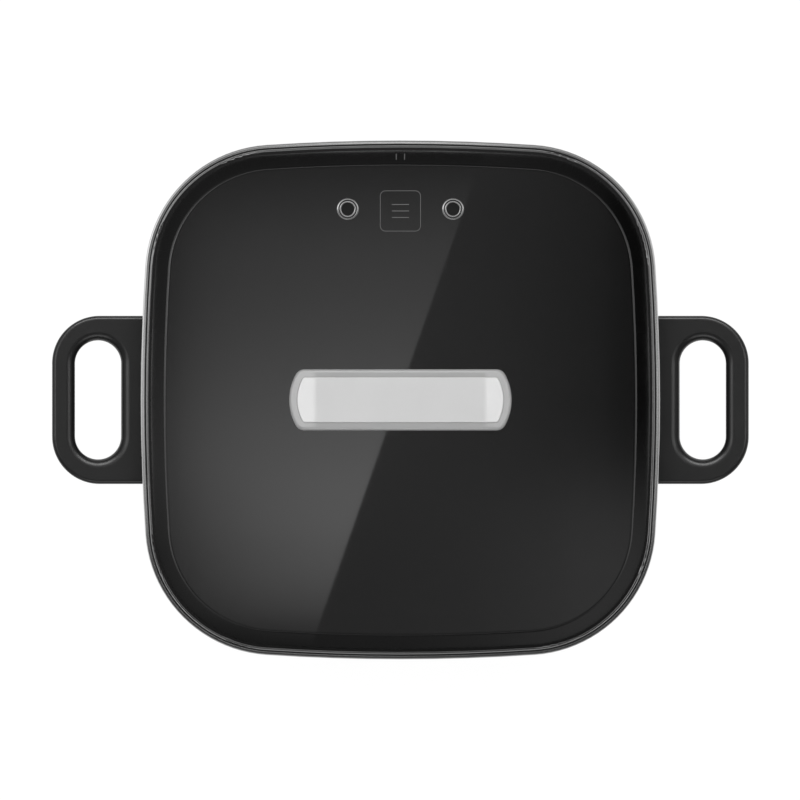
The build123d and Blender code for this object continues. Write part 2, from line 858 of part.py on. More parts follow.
def power_relay():
    body = block(*relay_size, *on_board(relay_place), power_board_top)
    return chamfer(body.edges().group_by(Axis.Z)[-1], relay_size[2] / 20)


def transformer():
    width, length, height = transformer_size
    coil = block(width + 2 * transformer_bulge, length - 2 * transformer_leg, height - 2 * transformer_leg,
                 z=transformer_leg)
    x, y = on_board(transformer_place)
    return Pos(x, y, power_board_top) * (block(width, length, height) + coil)


def filter_capacitors():
    cans = []
    for i in range(2):
        x, y = on_board((capacitor_place[0], capacitor_place[1] + i * capacitor_pitch))
        can = cylinder(capacitor_radius, power_board_top, power_board_top + capacitor_height, x, y)
        cans.append(fillet(can.edges().sort_by(Axis.Z)[-1], capacitor_radius / 8))
    return group(cans)


def port_places():
    """Mouths of the four terminal block ports, on its rear face, from left to right."""
    x, y = on_board(terminal_block_place)
    face_y = y + terminal_block_depth / 2
    level = power_board_top + terminal_block_height / 2
    return [Vector(x + (i - 1.5) * terminal_port_pitch, face_y, level) for i in range(4)]


def terminal_block():
    body = block(terminal_block_width, terminal_block_depth, terminal_block_height,
                 *on_board(terminal_block_place), power_board_top)
    for place in port_places():
        body -= Pos(place.X, place.Y, place.Z) * Cylinder(terminal_port_radius, 2 * terminal_port_depth,
                                                          rotation=(90, 0, 0))
        body -= cylinder(terminal_port_radius, power_board_top + terminal_block_height * 0.8,
                         power_board_top + terminal_block_height + overrun,
                         place.X, place.Y - terminal_block_depth / 2)
    return body


# Power inlet

def inlet_shape(grow):
    """The inlet's socket outline: a rectangle whose upper corners are cut off."""
    half_w = inlet_cavity_width / 2 + grow
    half_h = inlet_cavity_height / 2 + grow
    cut = inlet_cavity_chamfer
    return make_face(Polyline((-half_w, -half_h), (half_w, -half_h), (half_w, half_h - cut),
                              (half_w - cut, half_h), (cut - half_w, half_h), (-half_w, half_h - cut),
                              close=True))


def pin_places():
    return [(0, pin_row_drop), (pin_spacing, -pin_row_drop), (-pin_spacing, -pin_row_drop)]


inlet_depth = inlet_cavity_depth - inlet_flange + inlet_back


def power_inlet():
    flange = extrude(RectangleRounded(inlet_flange_width, inlet_flange_height, inlet_flange_radius),
                     amount=inlet_flange)
    body = Pos(0, 0, -inlet_depth) * extrude(inlet_shape(inlet_wall), amount=inlet_depth)
    body += fillet(flange.faces().sort_by(Axis.Z)[-1].edges(), inlet_flange / 4)
    body -= Pos(0, 0, inlet_back - inlet_depth) * extrude(inlet_shape(0), amount=inlet_depth + overrun)
    for x, y in pin_places():
        body -= block(pin_width, pin_height, inlet_depth, x, y, -inlet_depth - overrun)
    for x in (inlet_screw_x, -inlet_screw_x):
        body -= cylinder(small_shank_radius + slip_gap, -overrun, inlet_flange + overrun, x)
    return rear(inlet_seat_y) * body


def inlet_pins():
    back = -inlet_depth
    pins = []
    for x, y in pin_places():
        pin = block(pin_width - 2 * running_gap, pin_height - 2 * running_gap,
                    pin_tail + inlet_back + pin_length, x, y, back - pin_tail)
        pin = chamfer(pin.faces().sort_by(Axis.Z)[-1].edges(), pin_width / 5)
        pins.append(rear(inlet_seat_y) * pin)
    return group(pins)


def inlet_screws():
    flipped = Pos(0, 0, inlet_flange) * Rot(180, 0, 0) * small_screw()
    return group([rear(inlet_seat_y, x) * flipped for x in (inlet_screw_x, -inlet_screw_x)])


# Inner wiring

def wire(points, radius):
    """A round wire along a route, with each corner as round as its runs allow."""
    points = [Vector(*point) for point in points]
    radii = []
    for before, here, after in zip(points, points[1:], points[2:]):
        turn = radians((here - before).get_angle(after - here))
        shorter = min((here - before).length, (after - here).length)
        radii.append(0.45 * shorter / tan(turn / 2))
    path = FilletPolyline(*points, radius=radii)
    section = Plane(origin=path @ 0, z_dir=path % 0) * Circle(radius)
    return sweep(section, path=path.wire())


def pin_tail_place(x, y):
    """Inner end of an inlet pin in the body frame."""
    return Vector(-x, inlet_seat_y - inlet_depth - pin_tail, inlet_centre_z + y)


def mains_wires():
    wires = []
    for (x, y), port in zip(pin_places()[1:], port_places()[2:]):
        tail = pin_tail_place(x, y)
        wires.append(wire([tail, tail - Vector(0, wire_lead, 0), port + Vector(0, wire_lead, 0), port],
                          wire_radius))
    return group(wires)


def element_wires():
    wires = []
    ports = port_places()
    left_foot, right_foot = element_leg_places()
    for foot, port, low, lane in ((left_foot, ports[1], near_lane_z, near_lane),
                                  (right_foot, ports[0], far_lane_z, far_lane)):
        end = foot - Vector(0, 0, terminal_length)
        wires.append(wire([end, (end.X, end.Y, low), (port.X, port.Y + lane, low),
                           port + Vector(0, wire_lead / 2, 0), port], wire_radius))
    return group(wires)


def earth_wire():
    """From the inlet's upper pin to the underside of the heat shield."""
    tail = pin_tail_place(*pin_places()[0])
    step = Vector(0, -earth_step, 0)
    drop = Vector(0, 0, -earth_step * 0.75)
    end = tail + step * 3 + drop
    return wire([tail, tail + step, tail + step * 2 + drop, end, (end.X, end.Y, shield_floor_bottom)],
                wire_radius)


def signal_cable():
    """From the back of the control board to the top of the power board."""
    back_y = -(board_front_y - board_sheet)
    x, y = on_board(cable_place)
    return wire([(-cable_start_x, back_y, cable_start_z), (-cable_start_x, back_y + wire_lead, cable_start_z),
                 (x, y - 2 * wire_lead, cable_end_z), (x, y, cable_end_z), (x, y, power_board_top)],
                cable_radius)


# Pot

def pot_body():
    body = fillet(pot_envelope(0).faces().sort_by(Axis.Z)[0].edges(), pot_bottom_radius)
    body += slab(pot_flange_inset, pot_top - pot_flange, pot_top)
    inner_low = pot_bottom + pot_floor
    inner = extrude(outline(pot_inset(inner_low) + pot_wall, inner_low),
                    amount=pot_height - pot_floor + overrun, taper=-pot_draft)
    return body - fillet(inner.faces().sort_by(Axis.Z)[0].edges(), pot_bottom_radius - pot_wall)


def along_outline(profile):
    """Sweep a closed profile of (inset, height) edges once round the body outline."""
    return sweep(make_face(profile), path=outline(0).face().outer_wire())


def at_inset(inset, z):
    return (half_width - inset, 0, z)


def straight(*places):
    return Polyline(*[at_inset(*place) for place in places])


def quarter_round(inset, z, radius, start):
    """A convex quarter-round of a profile about (inset, z), from the start angle on."""
    angles = [radians(start + step) for step in (0, 45, 90)]
    return ThreePointArc(*[at_inset(inset + radius * cos(a), z + radius * sin(a)) for a in angles])


def pot_trim_ring():
    """A polished channel that grips the pot's flange and stands up round the lid."""
    under = pot_top - pot_flange
    low = under - trim_lip
    top = pot_top + trim_rise
    throat = pot_flange_inset - close_gap
    outer, inner = trim_outer_radius, trim_inner_radius
    return along_outline([
        straight((0, top - outer), (0, low), (trim_width, low), (trim_width, under), (throat, under),
                 (throat, pot_top), (trim_width, pot_top), (trim_width, top - inner)),
        quarter_round(trim_width - inner, top - inner, inner, 0),
        straight((trim_width - inner, top), (outer, top)),
        quarter_round(outer, top - outer, outer, 90)])


def pot_handle(side):
    centre_x = half_width + handle_reach - grip_from_edge - grip_width / 2
    body = Pos(half_width, 0, handle_low) * extrude(
        RectangleRounded(2 * handle_reach, handle_length, handle_corner_radius), amount=handle_thickness)
    body = fillet(body.faces().sort_by(Axis.Z)[-1].edges(), handle_top_radius)
    body = fillet(body.faces().sort_by(Axis.Z)[0].edges(), handle_bottom_radius)
    grip = SlotOverall(grip_length, grip_width, rotation=90)
    body -= Pos(centre_x, 0, handle_low - overrun) * extrude(grip, amount=handle_thickness + 2 * overrun)
    for level in (0, -1):
        rim = body.faces().sort_by(Axis.Z)[level].inner_wires()[0]
        body = fillet(rim.edges(), grip_edge_radius)
    body -= pot_envelope(close_gap)
    seat = pot_envelope(bracket_sheet + close_gap) & bracket_zone(close_gap)
    body -= seat
    body -= bracket_tongue_block(close_gap)
    for y in (bracket_screw_y, -bracket_screw_y):
        body -= cylinder(medium_head_radius + slip_gap, handle_low - overrun, bracket_screw_level,
                         bracket_screw_x, y)
        body -= cylinder(medium_shank_radius + close_gap, bracket_screw_level - overrun,
                         bracket_screw_level + medium_shank_length + slip_gap, bracket_screw_x, y)
    return mirrored(body, side)


def mirrored(solid, side):
    return solid if side > 0 else solid.mirror(Plane.YZ)


def bracket_zone(grow):
    """The block within which a bracket's flange lies against the pot wall."""
    width = pot_bottom_inset + bracket_sheet
    return block(width, bracket_length + 2 * grow, bracket_height + 2 * grow,
                 half_width - width / 2, z=bracket_centre_z - bracket_height / 2 - grow)


def bracket_tongue_block(grow):
    reach = bracket_tongue + grow
    return block(reach, bracket_length + 2 * grow, bracket_thickness + 2 * grow,
                 bracket_wall_x + reach / 2, z=bracket_centre_z - bracket_thickness / 2 - grow)


def handle_bracket(side):
    bracket = (pot_envelope(bracket_sheet) & bracket_zone(0)) + bracket_tongue_block(0)
    bracket -= pot_envelope(running_gap)
    for y in (bracket_screw_y, -bracket_screw_y):
        bracket -= cylinder(medium_shank_radius + running_gap, handle_low, pot_top, bracket_screw_x, y)
    return mirrored(bracket, side)


def handle_bracket_screws():
    return group([Pos(x, y, bracket_screw_level) * medium_screw()
                  for x, y in corners(bracket_screw_x, bracket_screw_y)])


# Lid

def lid_rim():
    """A steel band round the glass: a rolled bead outside, then a groove and a lip on the glass."""
    outer = rim_inset
    bead = outer + 2 * rim_roll_radius
    groove = bead + rim_groove_width
    inner = outer + rim_width
    sheet = rim_sheet
    roll = rim_roll_radius
    top = rim_top
    return along_outline([
        straight((outer, top - roll), (outer, rim_bottom), (outer + rim_return, rim_bottom),
                 (outer + rim_return, glass_bottom), (outer + sheet, glass_bottom),
                 (outer + sheet, border_top), (inner, border_top), (inner, top - rim_groove_depth / 2),
                 (groove, top - rim_groove_depth / 2), (groove, top - rim_groove_depth),
                 (bead - rim_groove_depth / 4, top - rim_groove_depth)),
        ThreePointArc(at_inset(bead - rim_groove_depth / 4, top - rim_groove_depth),
                      at_inset(outer + roll, top), at_inset(outer, top - roll))])


def lid_glass():
    border = slab(glass_edge, glass_bottom, border_top)
    slope = degrees(atan(glass_step_run / glass_step))
    rise = extrude(outline(panel_edge, border_top), amount=glass_step, taper=slope)
    glass = border + rise
    glass -= extrude(outline(panel_edge + glass_step_run, glass_bottom), amount=glass_step, taper=slope)
    glass = fillet(glass.faces().sort_by(Axis.Z)[-1].edges(), glass_step)
    for x in (vent_x, -vent_x):
        glass -= cylinder(vent_bore_radius + vent_tube_wall + slip_gap, glass_bottom, rim_top + overrun,
                          x, vent_y)
    for x in (handle_screw_x, -handle_screw_x):
        glass -= cylinder(handle_screw_radius + slip_gap, glass_bottom, rim_top + overrun, x)
    return glass


def lid_gasket():
    """Black ring under the lid's edge, with a lip that hangs inside the pot."""
    outer = rim_inset + rim_sheet
    lip = pot_top_inset + pot_wall + gasket_lip_gap
    lip_end = lip + gasket_lip_width
    clear = rim_inset + rim_return + close_gap
    ring = along_outline([straight(
        (outer, pot_top), (lip, pot_top), (lip, pot_top - gasket_lip_depth),
        (lip_end, pot_top - gasket_lip_depth), (lip_end, pot_top), (panel_edge, pot_top),
        (panel_edge, glass_bottom), (clear, glass_bottom), (clear, rim_bottom), (outer, rim_bottom),
        (outer, pot_top))])
    for x in (joint_spacing / 2, -joint_spacing / 2):
        ring -= block(joint_groove, joint_length, gasket_thickness / 2, x,
                      half_width - joint_inset - joint_length / 2, glass_bottom - gasket_thickness / 2)
    return ring


def steam_vent(side):
    bore = vent_bore_radius
    tube = bore + vent_tube_wall
    under = vent_flange_radius - vent_dome_radius
    top = panel_top + vent_flange_height
    vent = turned([(bore, panel_under - vent_under_height), (under, panel_under - vent_under_height),
                   (under, panel_under), (tube, panel_under), (tube, panel_top),
                   (vent_flange_radius, panel_top), (vent_flange_radius, top), (bore, top)])
    rims = vent.edges().filter_by(GeomType.CIRCLE).group_by(Axis.Z)[-1]
    return Pos(side * vent_x, vent_y, 0) * fillet(rims, vent_dome_radius)


def handle_plan(inset, corner):
    """The lid handle's plan: straight sides, bowed ends and round corners."""
    half_l = grip_bar_length / 2 - inset
    half_w = grip_bar_width / 2 - inset
    bow = grip_bar_end_radius - inset
    shoulder = half_l - bow + sqrt(bow ** 2 - half_w ** 2)
    plan = make_face([
        Line((-shoulder, -half_w), (shoulder, -half_w)),
        ThreePointArc((shoulder, -half_w), (half_l, 0), (shoulder, half_w)),
        Line((shoulder, half_w), (-shoulder, half_w)),
        ThreePointArc((-shoulder, half_w), (-half_l, 0), (-shoulder, -half_w))])
    return fillet(plan.vertices(), corner)


def handle_block(inset, corner, high):
    return Pos(0, 0, leg_foot) * extrude(handle_plan(inset, corner), amount=high - leg_foot)


def bar_end_drop(x):
    """How far the bar's top has come down at distance x from the middle."""
    return grip_bar_slope_drop * (x - grip_bar_slope_start) / (grip_bar_length / 2 - grip_bar_slope_start)


def under_top(lift):
    """Everything below the handle's top surface moved up by lift."""
    end = grip_bar_length / 2 + overrun
    start = grip_bar_slope_start
    top = bar_top + lift
    bend = grip_bar_bend_radius
    face = make_face(FilletPolyline(
        (-end, leg_foot - overrun), (end, leg_foot - overrun), (end, top - bar_end_drop(end)), (start, top),
        (-start, top), (-end, top - bar_end_drop(end)), radius=[0, 0, 0, bend, bend, 0], close=True))
    return extrude(Plane.XZ * face, amount=grip_bar_width, both=True)


def handle_arch():
    """Side view of the bar, its legs and the finger gap between them."""
    end = grip_bar_length / 2 + overrun
    high = bar_top + overrun
    under = bar_top - grip_bar_thickness
    face = make_face(FilletPolyline(
        (-end, high), (end, high), (end, under - bar_end_drop(end)), (leg_outer_x, under - leg_shoulder),
        (leg_outer_x, leg_foot), (leg_inner_x, leg_foot), (leg_inner_x, under), (-leg_inner_x, under),
        (-leg_inner_x, leg_foot), (-leg_outer_x, leg_foot), (-leg_outer_x, under - leg_shoulder),
        (-end, under - bar_end_drop(end)),
        radius=[0, 0, 0, leg_shoulder_radius, 0, 0, leg_arch_radius, leg_arch_radius, 0, 0,
                leg_shoulder_radius, 0], close=True))
    return extrude(Plane.XZ * face, amount=grip_bar_width, both=True)


def handle_waist():
    """End view: the bar is full width at the top and narrows to the legs."""
    wide = grip_bar_width / 2
    narrow = leg_width / 2
    high = bar_top + overrun
    upper = bar_top - grip_bar_edge_depth
    lower = bar_top - grip_bar_thickness
    face = make_face(FilletPolyline(
        (-narrow, leg_foot), (-narrow, lower), (-wide, upper), (-wide, high), (wide, high), (wide, upper),
        (narrow, lower), (narrow, leg_foot),
        radius=[0, leg_waist_radius, grip_bar_belly_radius, 0, 0, grip_bar_belly_radius, leg_waist_radius, 0],
        close=True))
    return extrude(Plane.YZ * face, amount=grip_bar_length, both=True)


def top_rim_edges(solid, half_l, half_w):
    """Edges round the bar's top, without the bend lines that cross it."""
    faces = [face for face in solid.faces() if face.normal_at().Z > cos(radians(45))]
    edges = [edge for face in faces for edge in face.edges()]
    beyond = (grip_bar_slope_start + half_l) / 2
    return [edge for edge in edges
            if abs(edge.center().Y) > half_w / 2 or abs(edge.center().X) > beyond]


def lid_handle():
    bar = handle_block(0, grip_bar_corner_radius, bar_top + overrun) & under_top(0)
    bar = fillet(top_rim_edges(bar, grip_bar_length / 2, grip_bar_width / 2), grip_bar_edge_radius)
    bar = bar & handle_arch() & handle_waist()
    pocket = handle_block(inlay_border - close_gap, inlay_corner_radius, bar_top + overrun)
    bar -= pocket - under_top(inlay_proud - inlay_thickness)
    for x in (handle_screw_x, -handle_screw_x):
        bar -= cylinder(handle_screw_radius + running_gap, leg_foot - overrun,
                        panel_under + handle_screw_grip, x)
    return bar


def lid_handle_inlay():
    plate = handle_block(inlay_border, inlay_corner_radius, bar_top + overrun)
    plate = (plate & under_top(inlay_proud)) - under_top(inlay_proud - inlay_thickness)
    half_l = grip_bar_length / 2 - inlay_border
    half_w = grip_bar_width / 2 - inlay_border
    return fillet(top_rim_edges(plate, half_l, half_w), inlay_edge_radius)


def lid_handle_pads():
    pads = []
    width = leg_outer_x - leg_inner_x + 2 * pad_margin
    for x in (handle_screw_x, -handle_screw_x):
        pad = Pos(x, 0, panel_top) * extrude(
            RectangleRounded(width, leg_width + 2 * pad_margin, pad_corner_radius), amount=pad_thickness)
        pads.append(pad - cylinder(handle_screw_radius + running_gap, panel_top - overrun,
                                   leg_foot + overrun, x))
    return group(pads)


def lid_handle_screws():
    one = screw(handle_screw_head_radius, handle_screw_head_height, handle_screw_radius, handle_screw_grip)
    return group([Pos(x, 0, panel_under - washer_thickness) * one
                  for x in (handle_screw_x, -handle_screw_x)])


def lid_handle_washers():
    washer = turned([(handle_screw_radius + running_gap, panel_under - washer_thickness),
                     (washer_radius, panel_under - washer_thickness), (washer_radius, panel_under),
                     (handle_screw_radius + running_gap, panel_under)])
    return group([Pos(x, 0, 0) * washer for x in (handle_screw_x, -handle_screw_x)])


def left_pot_handle():
    return pot_handle(-1)


def right_pot_handle():
    return pot_handle(1)


def left_handle_bracket():
    return handle_bracket(-1)


def right_handle_bracket():
    return handle_bracket(1)


def left_steam_vent():
    return steam_vent(-1)


def right_steam_vent():
    return steam_vent(1)


pieces = [
    base_housing, bottom_cover, rubber_feet, cover_screws,
    heating_plate, heating_element, element_terminals, plate_seal, heat_shield, shield_screws, plate_screws,
    probe_guide, thermal_fuse, fuse_clip, probe_cap, thermistor, probe_spring,
    control_panel, control_board, control_board_screws, rotary_switch, switch_nut, indicator_lens,
    indicator_led, control_knob, knob_face, knob_pointer, knob_shaft,
    power_board, power_board_screws, power_relay, transformer, filter_capacitors, terminal_block,
    power_inlet, inlet_pins, inlet_screws, mains_wires, element_wires, earth_wire, signal_cable,
    pot_body, pot_trim_ring, left_pot_handle, right_pot_handle, left_handle_bracket, right_handle_bracket,
    handle_bracket_screws,
    lid_rim, lid_glass, lid_gasket, left_steam_vent, right_steam_vent,
    lid_handle, lid_handle_inlay, lid_handle_pads, lid_handle_screws, lid_handle_washers,
]

os.makedirs("parts", exist_ok=True)
for piece in pieces:
    export_step(piece(), "parts/" + piece.__name__ + ".step")
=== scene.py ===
import math

import bpy
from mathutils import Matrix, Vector


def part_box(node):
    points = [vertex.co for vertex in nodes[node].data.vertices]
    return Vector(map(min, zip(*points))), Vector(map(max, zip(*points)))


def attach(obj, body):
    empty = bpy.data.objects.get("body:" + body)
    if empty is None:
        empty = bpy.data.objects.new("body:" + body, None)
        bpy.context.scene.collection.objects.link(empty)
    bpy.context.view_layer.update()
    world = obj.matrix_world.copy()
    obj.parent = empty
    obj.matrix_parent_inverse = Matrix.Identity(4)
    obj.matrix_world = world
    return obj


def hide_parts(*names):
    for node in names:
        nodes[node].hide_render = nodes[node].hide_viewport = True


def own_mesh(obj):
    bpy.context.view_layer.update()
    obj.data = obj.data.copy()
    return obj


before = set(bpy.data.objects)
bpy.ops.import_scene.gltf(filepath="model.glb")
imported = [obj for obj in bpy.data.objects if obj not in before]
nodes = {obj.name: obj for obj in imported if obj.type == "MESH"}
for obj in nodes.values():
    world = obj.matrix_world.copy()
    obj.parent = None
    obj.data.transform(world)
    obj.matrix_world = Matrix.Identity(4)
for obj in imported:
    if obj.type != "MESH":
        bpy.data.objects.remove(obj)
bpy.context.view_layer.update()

MM = 0.001


# Tones are written as the grey of a finished picture, from 0 to 255

def tone(level):
    """Linear value of a picture grey."""
    value = level / 255
    return value / 12.92 if value <= 0.04045 else ((value + 0.055) / 1.055) ** 2.4


def grey(level, tint=(1, 1, 1)):
    """Colour of a picture grey, tinted by channel."""
    return tuple(tone(level) * part for part in tint) + (1,)


# Node helpers

class Nodes:
    """Short calls for the nodes of one tree."""

    def __init__(self, tree):
        self.tree = tree

    def add(self, kind, **settings):
        """A new node with these settings."""
        node = self.tree.nodes.new(kind)
        for key, value in settings.items():
            setattr(node, key, value)
        return node

    def feed(self, socket, value):
        """Links an output to a socket, or sets the socket to a constant."""
        if isinstance(value, bpy.types.NodeSocket):
            self.tree.links.new(value, socket)
        else:
            socket.default_value = value

    def math(self, kind, a, b=None):
        """One sum of one or two values."""
        node = self.add("ShaderNodeMath", operation=kind)
        self.feed(node.inputs[0], a)
        if b is not None:
            self.feed(node.inputs[1], b)
        return node.outputs["Value"]

    def join(self, kind, first, *others):
        """Joins values by one kind of sum, from the left."""
        total = first
        for other in others:
            total = self.math(kind, total, other)
        return total

    def times(self, *values):
        return self.join("MULTIPLY", *values)

    def plus(self, *values):
        return self.join("ADD", *values)

    def choose(self, factor, off, on, kind="FLOAT"):
        """The first value where the factor is 0, and the second where it is 1."""
        node = self.add("ShaderNodeMix", data_type=kind)
        for name, value in (("Factor", factor), ("A", off), ("B", on)):
            self.feed(node.inputs[name], value)
        return node.outputs["Result"]

    def mix(self, factor, off, on):
        """The same for two colours."""
        return self.choose(factor, off, on, "RGBA")

    def span(self, value, low, high, start=0.0, end=1.0):
        """Maps start..end of a value to low..high."""
        node = self.add("ShaderNodeMapRange")
        settings = {"Value": value, "From Min": start, "From Max": end, "To Min": low, "To Max": high}
        for name, setting in settings.items():
            self.feed(node.inputs[name], setting)
        return node.outputs["Result"]

    def curve(self, value, stops, start, end):
        """A smooth curve through (place, level) pairs, for a value between start and end."""
        node = self.add("ShaderNodeFloatCurve")
        points = node.mapping.curves[0].points
        points_of_new_curve = len(points)
        top = max(level for _, level in stops)
        for i, (place, level) in enumerate(stops):
            where = ((place - start) / (end - start), level / top)
            if i < points_of_new_curve:
                points[i].location = where
            else:
                points.new(*where)
        node.mapping.update()
        self.feed(node.inputs["Value"], self.span(value, 0.0, 1.0, start, end))
        return self.times(node.outputs["Value"], top)

    def axes(self, vector):
        """The x, y and z of a vector."""
        node = self.add("ShaderNodeSeparateXYZ")
        self.feed(node.inputs[0], vector)
        return [node.outputs[axis] for axis in "XYZ"]

    def rays(self, *names):
        """1 for rays of the named kinds."""
        path = self.add("ShaderNodeLightPath")
        return self.join("MAXIMUM", *(path.outputs[name] for name in names))


class Material(Nodes):
    """A material with its principled shader, and the patterns that its surface is made of."""

    def __init__(self, name):
        self.mat = bpy.data.materials.new(name)
        self.mat.use_nodes = True
        super().__init__(self.mat.node_tree)
        self.shader = self.tree.nodes["Principled BSDF"]
        self.place = self.add("ShaderNodeTexCoord").outputs["Object"]

    def set(self, **values):
        """Constants straight on the shader's sockets; an underscore stands for a space."""
        for key, value in values.items():
            self.shader.inputs[key.replace("_", " ")].default_value = value

    def stretch(self, scale):
        """The surface coordinates, scaled by axis."""
        node = self.add("ShaderNodeMapping")
        node.inputs["Scale"].default_value = scale
        self.feed(node.inputs["Vector"], self.place)
        return node.outputs["Vector"]

    def noise(self, size, detail=2.0, rough=0.5, vector=None):
        """Noise with features about size metres across."""
        node = self.add("ShaderNodeTexNoise")
        settings = {"Vector": vector or self.place, "Scale": 1 / size, "Detail": detail, "Roughness": rough}
        for name, setting in settings.items():
            self.feed(node.inputs[name], setting)
        return node.outputs["Fac"]

    def colour(self, output):
        self.feed(self.shader.inputs["Base Color"], output)

    def roughness(self, output):
        self.feed(self.shader.inputs["Roughness"], output)

    def bump(self, height, depth):
        """Bump whose full height is depth metres."""
        node = self.add("ShaderNodeBump")
        node.inputs["Strength"].default_value = 1.0
        node.inputs["Distance"].default_value = depth
        self.feed(node.inputs["Height"], height)
        self.feed(self.shader.inputs["Normal"], node.outputs["Normal"])

    def show(self, shader):
        """Makes another shader the surface."""
        self.feed(self.tree.nodes["Material Output"].inputs["Surface"], shader)


# Materials

def moulded(name, level, rough, grain=0.25, grain_depth=0.02, tint=(1, 1, 1), shine=0.5):
    """Moulded plastic: fine spark-eroded grain, faint flow marks and slightly uneven sheen."""
    m = Material(name)
    m.set(Specular_IOR_Level=shine, IOR=1.5)
    flow = m.noise(38 * MM, 3.0)
    m.colour(m.mix(flow, grey(level - 3, tint), grey(level + 3, tint)))
    fine = m.noise(grain * MM, 3.0, 0.6)
    uneven = m.plus(m.times(fine, 0.4), m.times(flow, 0.6))
    m.roughness(m.span(uneven, rough - 0.07, rough + 0.07))
    m.bump(fine, grain_depth * MM)
    return m.mat


def rubber(name, level, rough=0.7):
    """Soft rubber or silicone with a dusty, very fine surface."""
    m = Material(name)
    m.set(Specular_IOR_Level=0.35)
    dust = m.noise(7 * MM, 5.0, 0.7)
    m.colour(m.mix(dust, grey(level - 4), grey(level + 5)))
    m.roughness(m.span(dust, rough - 0.08, rough + 0.08))
    m.bump(m.noise(0.5 * MM, 3.0), 0.02 * MM)
    return m.mat


def polished(name, level, rough=0.09):
    """Polished stainless steel with faint wipe marks."""
    m = Material(name)
    m.set(Metallic=1.0)
    smear = m.noise(9 * MM, 5.0, 0.65, m.stretch((1, 0.4, 1)))
    m.colour(m.mix(smear, grey(level - 5), grey(level + 5)))
    m.roughness(m.span(smear, rough - 0.04, rough + 0.05))
    m.bump(m.noise(3 * MM, 2.0), 0.003 * MM)
    return m.mat


def brushed(name, level, rough=0.28, tint=(1, 1, 1)):
    """Metal with fine lines drawn along x."""
    m = Material(name)
    m.set(Metallic=1.0)
    line_width, stretched = 0.5 * MM, 30
    lines = m.noise(stretched * line_width, 4.0, 0.7, m.stretch((1, stretched, stretched)))
    broad = m.noise(22 * MM, 2.0)
    worn = m.times(m.plus(lines, broad), 0.5)
    m.colour(m.mix(worn, grey(level - 16, tint), grey(level + 16, tint)))
    m.roughness(m.span(lines, rough - 0.08, rough + 0.1))
    m.bump(lines, 0.004 * MM)
    return m.mat


def turned(name, level, rough, pitch):
    """Metal turned on a lathe about the object's upright axis: fine rings of even pitch."""
    m = Material(name)
    m.set(Metallic=1.0)
    x, y, _ = m.axes(m.place)
    radius = m.math("SQRT", m.plus(m.times(x, x), m.times(y, y)))
    wobble = m.times(m.noise(26 * MM, 2.0), 1.2)
    wave = m.math("SINE", m.plus(m.times(radius, 2 * math.pi / pitch), wobble))
    ring = m.span(wave, 0.0, 1.0, -1.0, 1.0)
    stain = m.noise(30 * MM, 5.0, 0.6)
    m.colour(m.mix(stain, grey(level - 14), grey(level + 8)))
    uneven = m.plus(m.times(ring, 0.4), m.times(stain, 0.6))
    m.roughness(m.span(uneven, rough - 0.07, rough + 0.1))
    m.bump(ring, 0.012 * MM)
    return m.mat


def silver_paint(name, level, rough, metal=0.25):
    """Satin silver paint with tiny flakes under a clear coat."""
    m = Material(name)
    m.set(Metallic=metal, Coat_Weight=0.25, Coat_Roughness=0.25)
    flake = m.noise(0.12 * MM, 1.0)
    cloud = m.noise(16 * MM, 3.0)
    m.colour(m.mix(m.times(m.plus(flake, cloud), 0.5), grey(level - 7), grey(level + 7)))
    m.roughness(m.span(flake, rough - 0.06, rough + 0.08))
    m.bump(flake, 0.002 * MM)
    return m.mat


def coating(name, level, rough, speck_level):
    """Non-stick coating: dark, with sparse pale specks and a soft orange peel."""
    m = Material(name)
    m.set(Specular_IOR_Level=0.5)
    specks = m.span(m.noise(0.45 * MM, 2.0, 0.6), 0, 1, 0.66, 0.72)
    body = m.mix(m.noise(45 * MM, 3.0), grey(level - 3), grey(level + 3))
    m.colour(m.mix(specks, body, grey(speck_level)))
    m.roughness(m.span(m.noise(5 * MM, 3.0), rough - 0.06, rough + 0.08))
    m.bump(m.noise(1.6 * MM, 2.0), 0.012 * MM)
    return m.mat


def smoked_glass(name, level):
    """Dark smoked glass, faintly rippled, with a trace of wipe marks."""
    m = Material(name)
    m.set(IOR=1.5, Transmission_Weight=1.0, Coat_Weight=1.0, Coat_IOR=1.8, Coat_Roughness=0.02)
    ripple = m.noise(60 * MM, 1.0)
    m.colour(m.mix(ripple, grey(level - 4), grey(level + 4)))
    wipe = m.noise(14 * MM, 6.0, 0.7, m.stretch((0.5, 1, 1)))
    m.roughness(m.span(wipe, 0.012, 0.035, 0.3, 0.7))
    m.bump(ripple, 0.004 * MM)
    return m.mat


def circuit_board(name):
    """Green board with paler tracks under the mask."""
    m = Material(name)
    turn = m.add("ShaderNodeMapping")
    turn.inputs["Rotation"].default_value = (0.4, 0.3, 0.0)
    m.feed(turn.inputs["Vector"], m.place)
    cell = m.add("ShaderNodeTexBrick", offset=0.37, squash=0.6, squash_frequency=3)
    settings = {"Vector": turn.outputs["Vector"], "Scale": 1 / (28 * MM), "Mortar Size": 0.035,
                "Color1": (0.010, 0.075, 0.030, 1), "Color2": (0.012, 0.090, 0.036, 1),
                "Mortar": (0.035, 0.200, 0.080, 1)}
    for socket, setting in settings.items():
        m.feed(cell.inputs[socket], setting)
    m.colour(cell.outputs["Color"])
    m.roughness(m.span(m.noise(3 * MM), 0.28, 0.42))
    m.bump(cell.outputs["Fac"], 0.05 * MM)
    return m.mat


def glossy_plastic(name, colour, rough, **more):
    """Clear or glossy moulding with slight unevenness."""
    m = Material(name)
    m.set(**more)
    cloud = m.noise(4 * MM, 2.0)
    darker = tuple(part * 0.85 for part in colour[:3]) + (1,)
    m.colour(m.mix(cloud, darker, colour))
    m.roughness(m.span(cloud, rough - 0.05, rough + 0.05))
    return m.mat


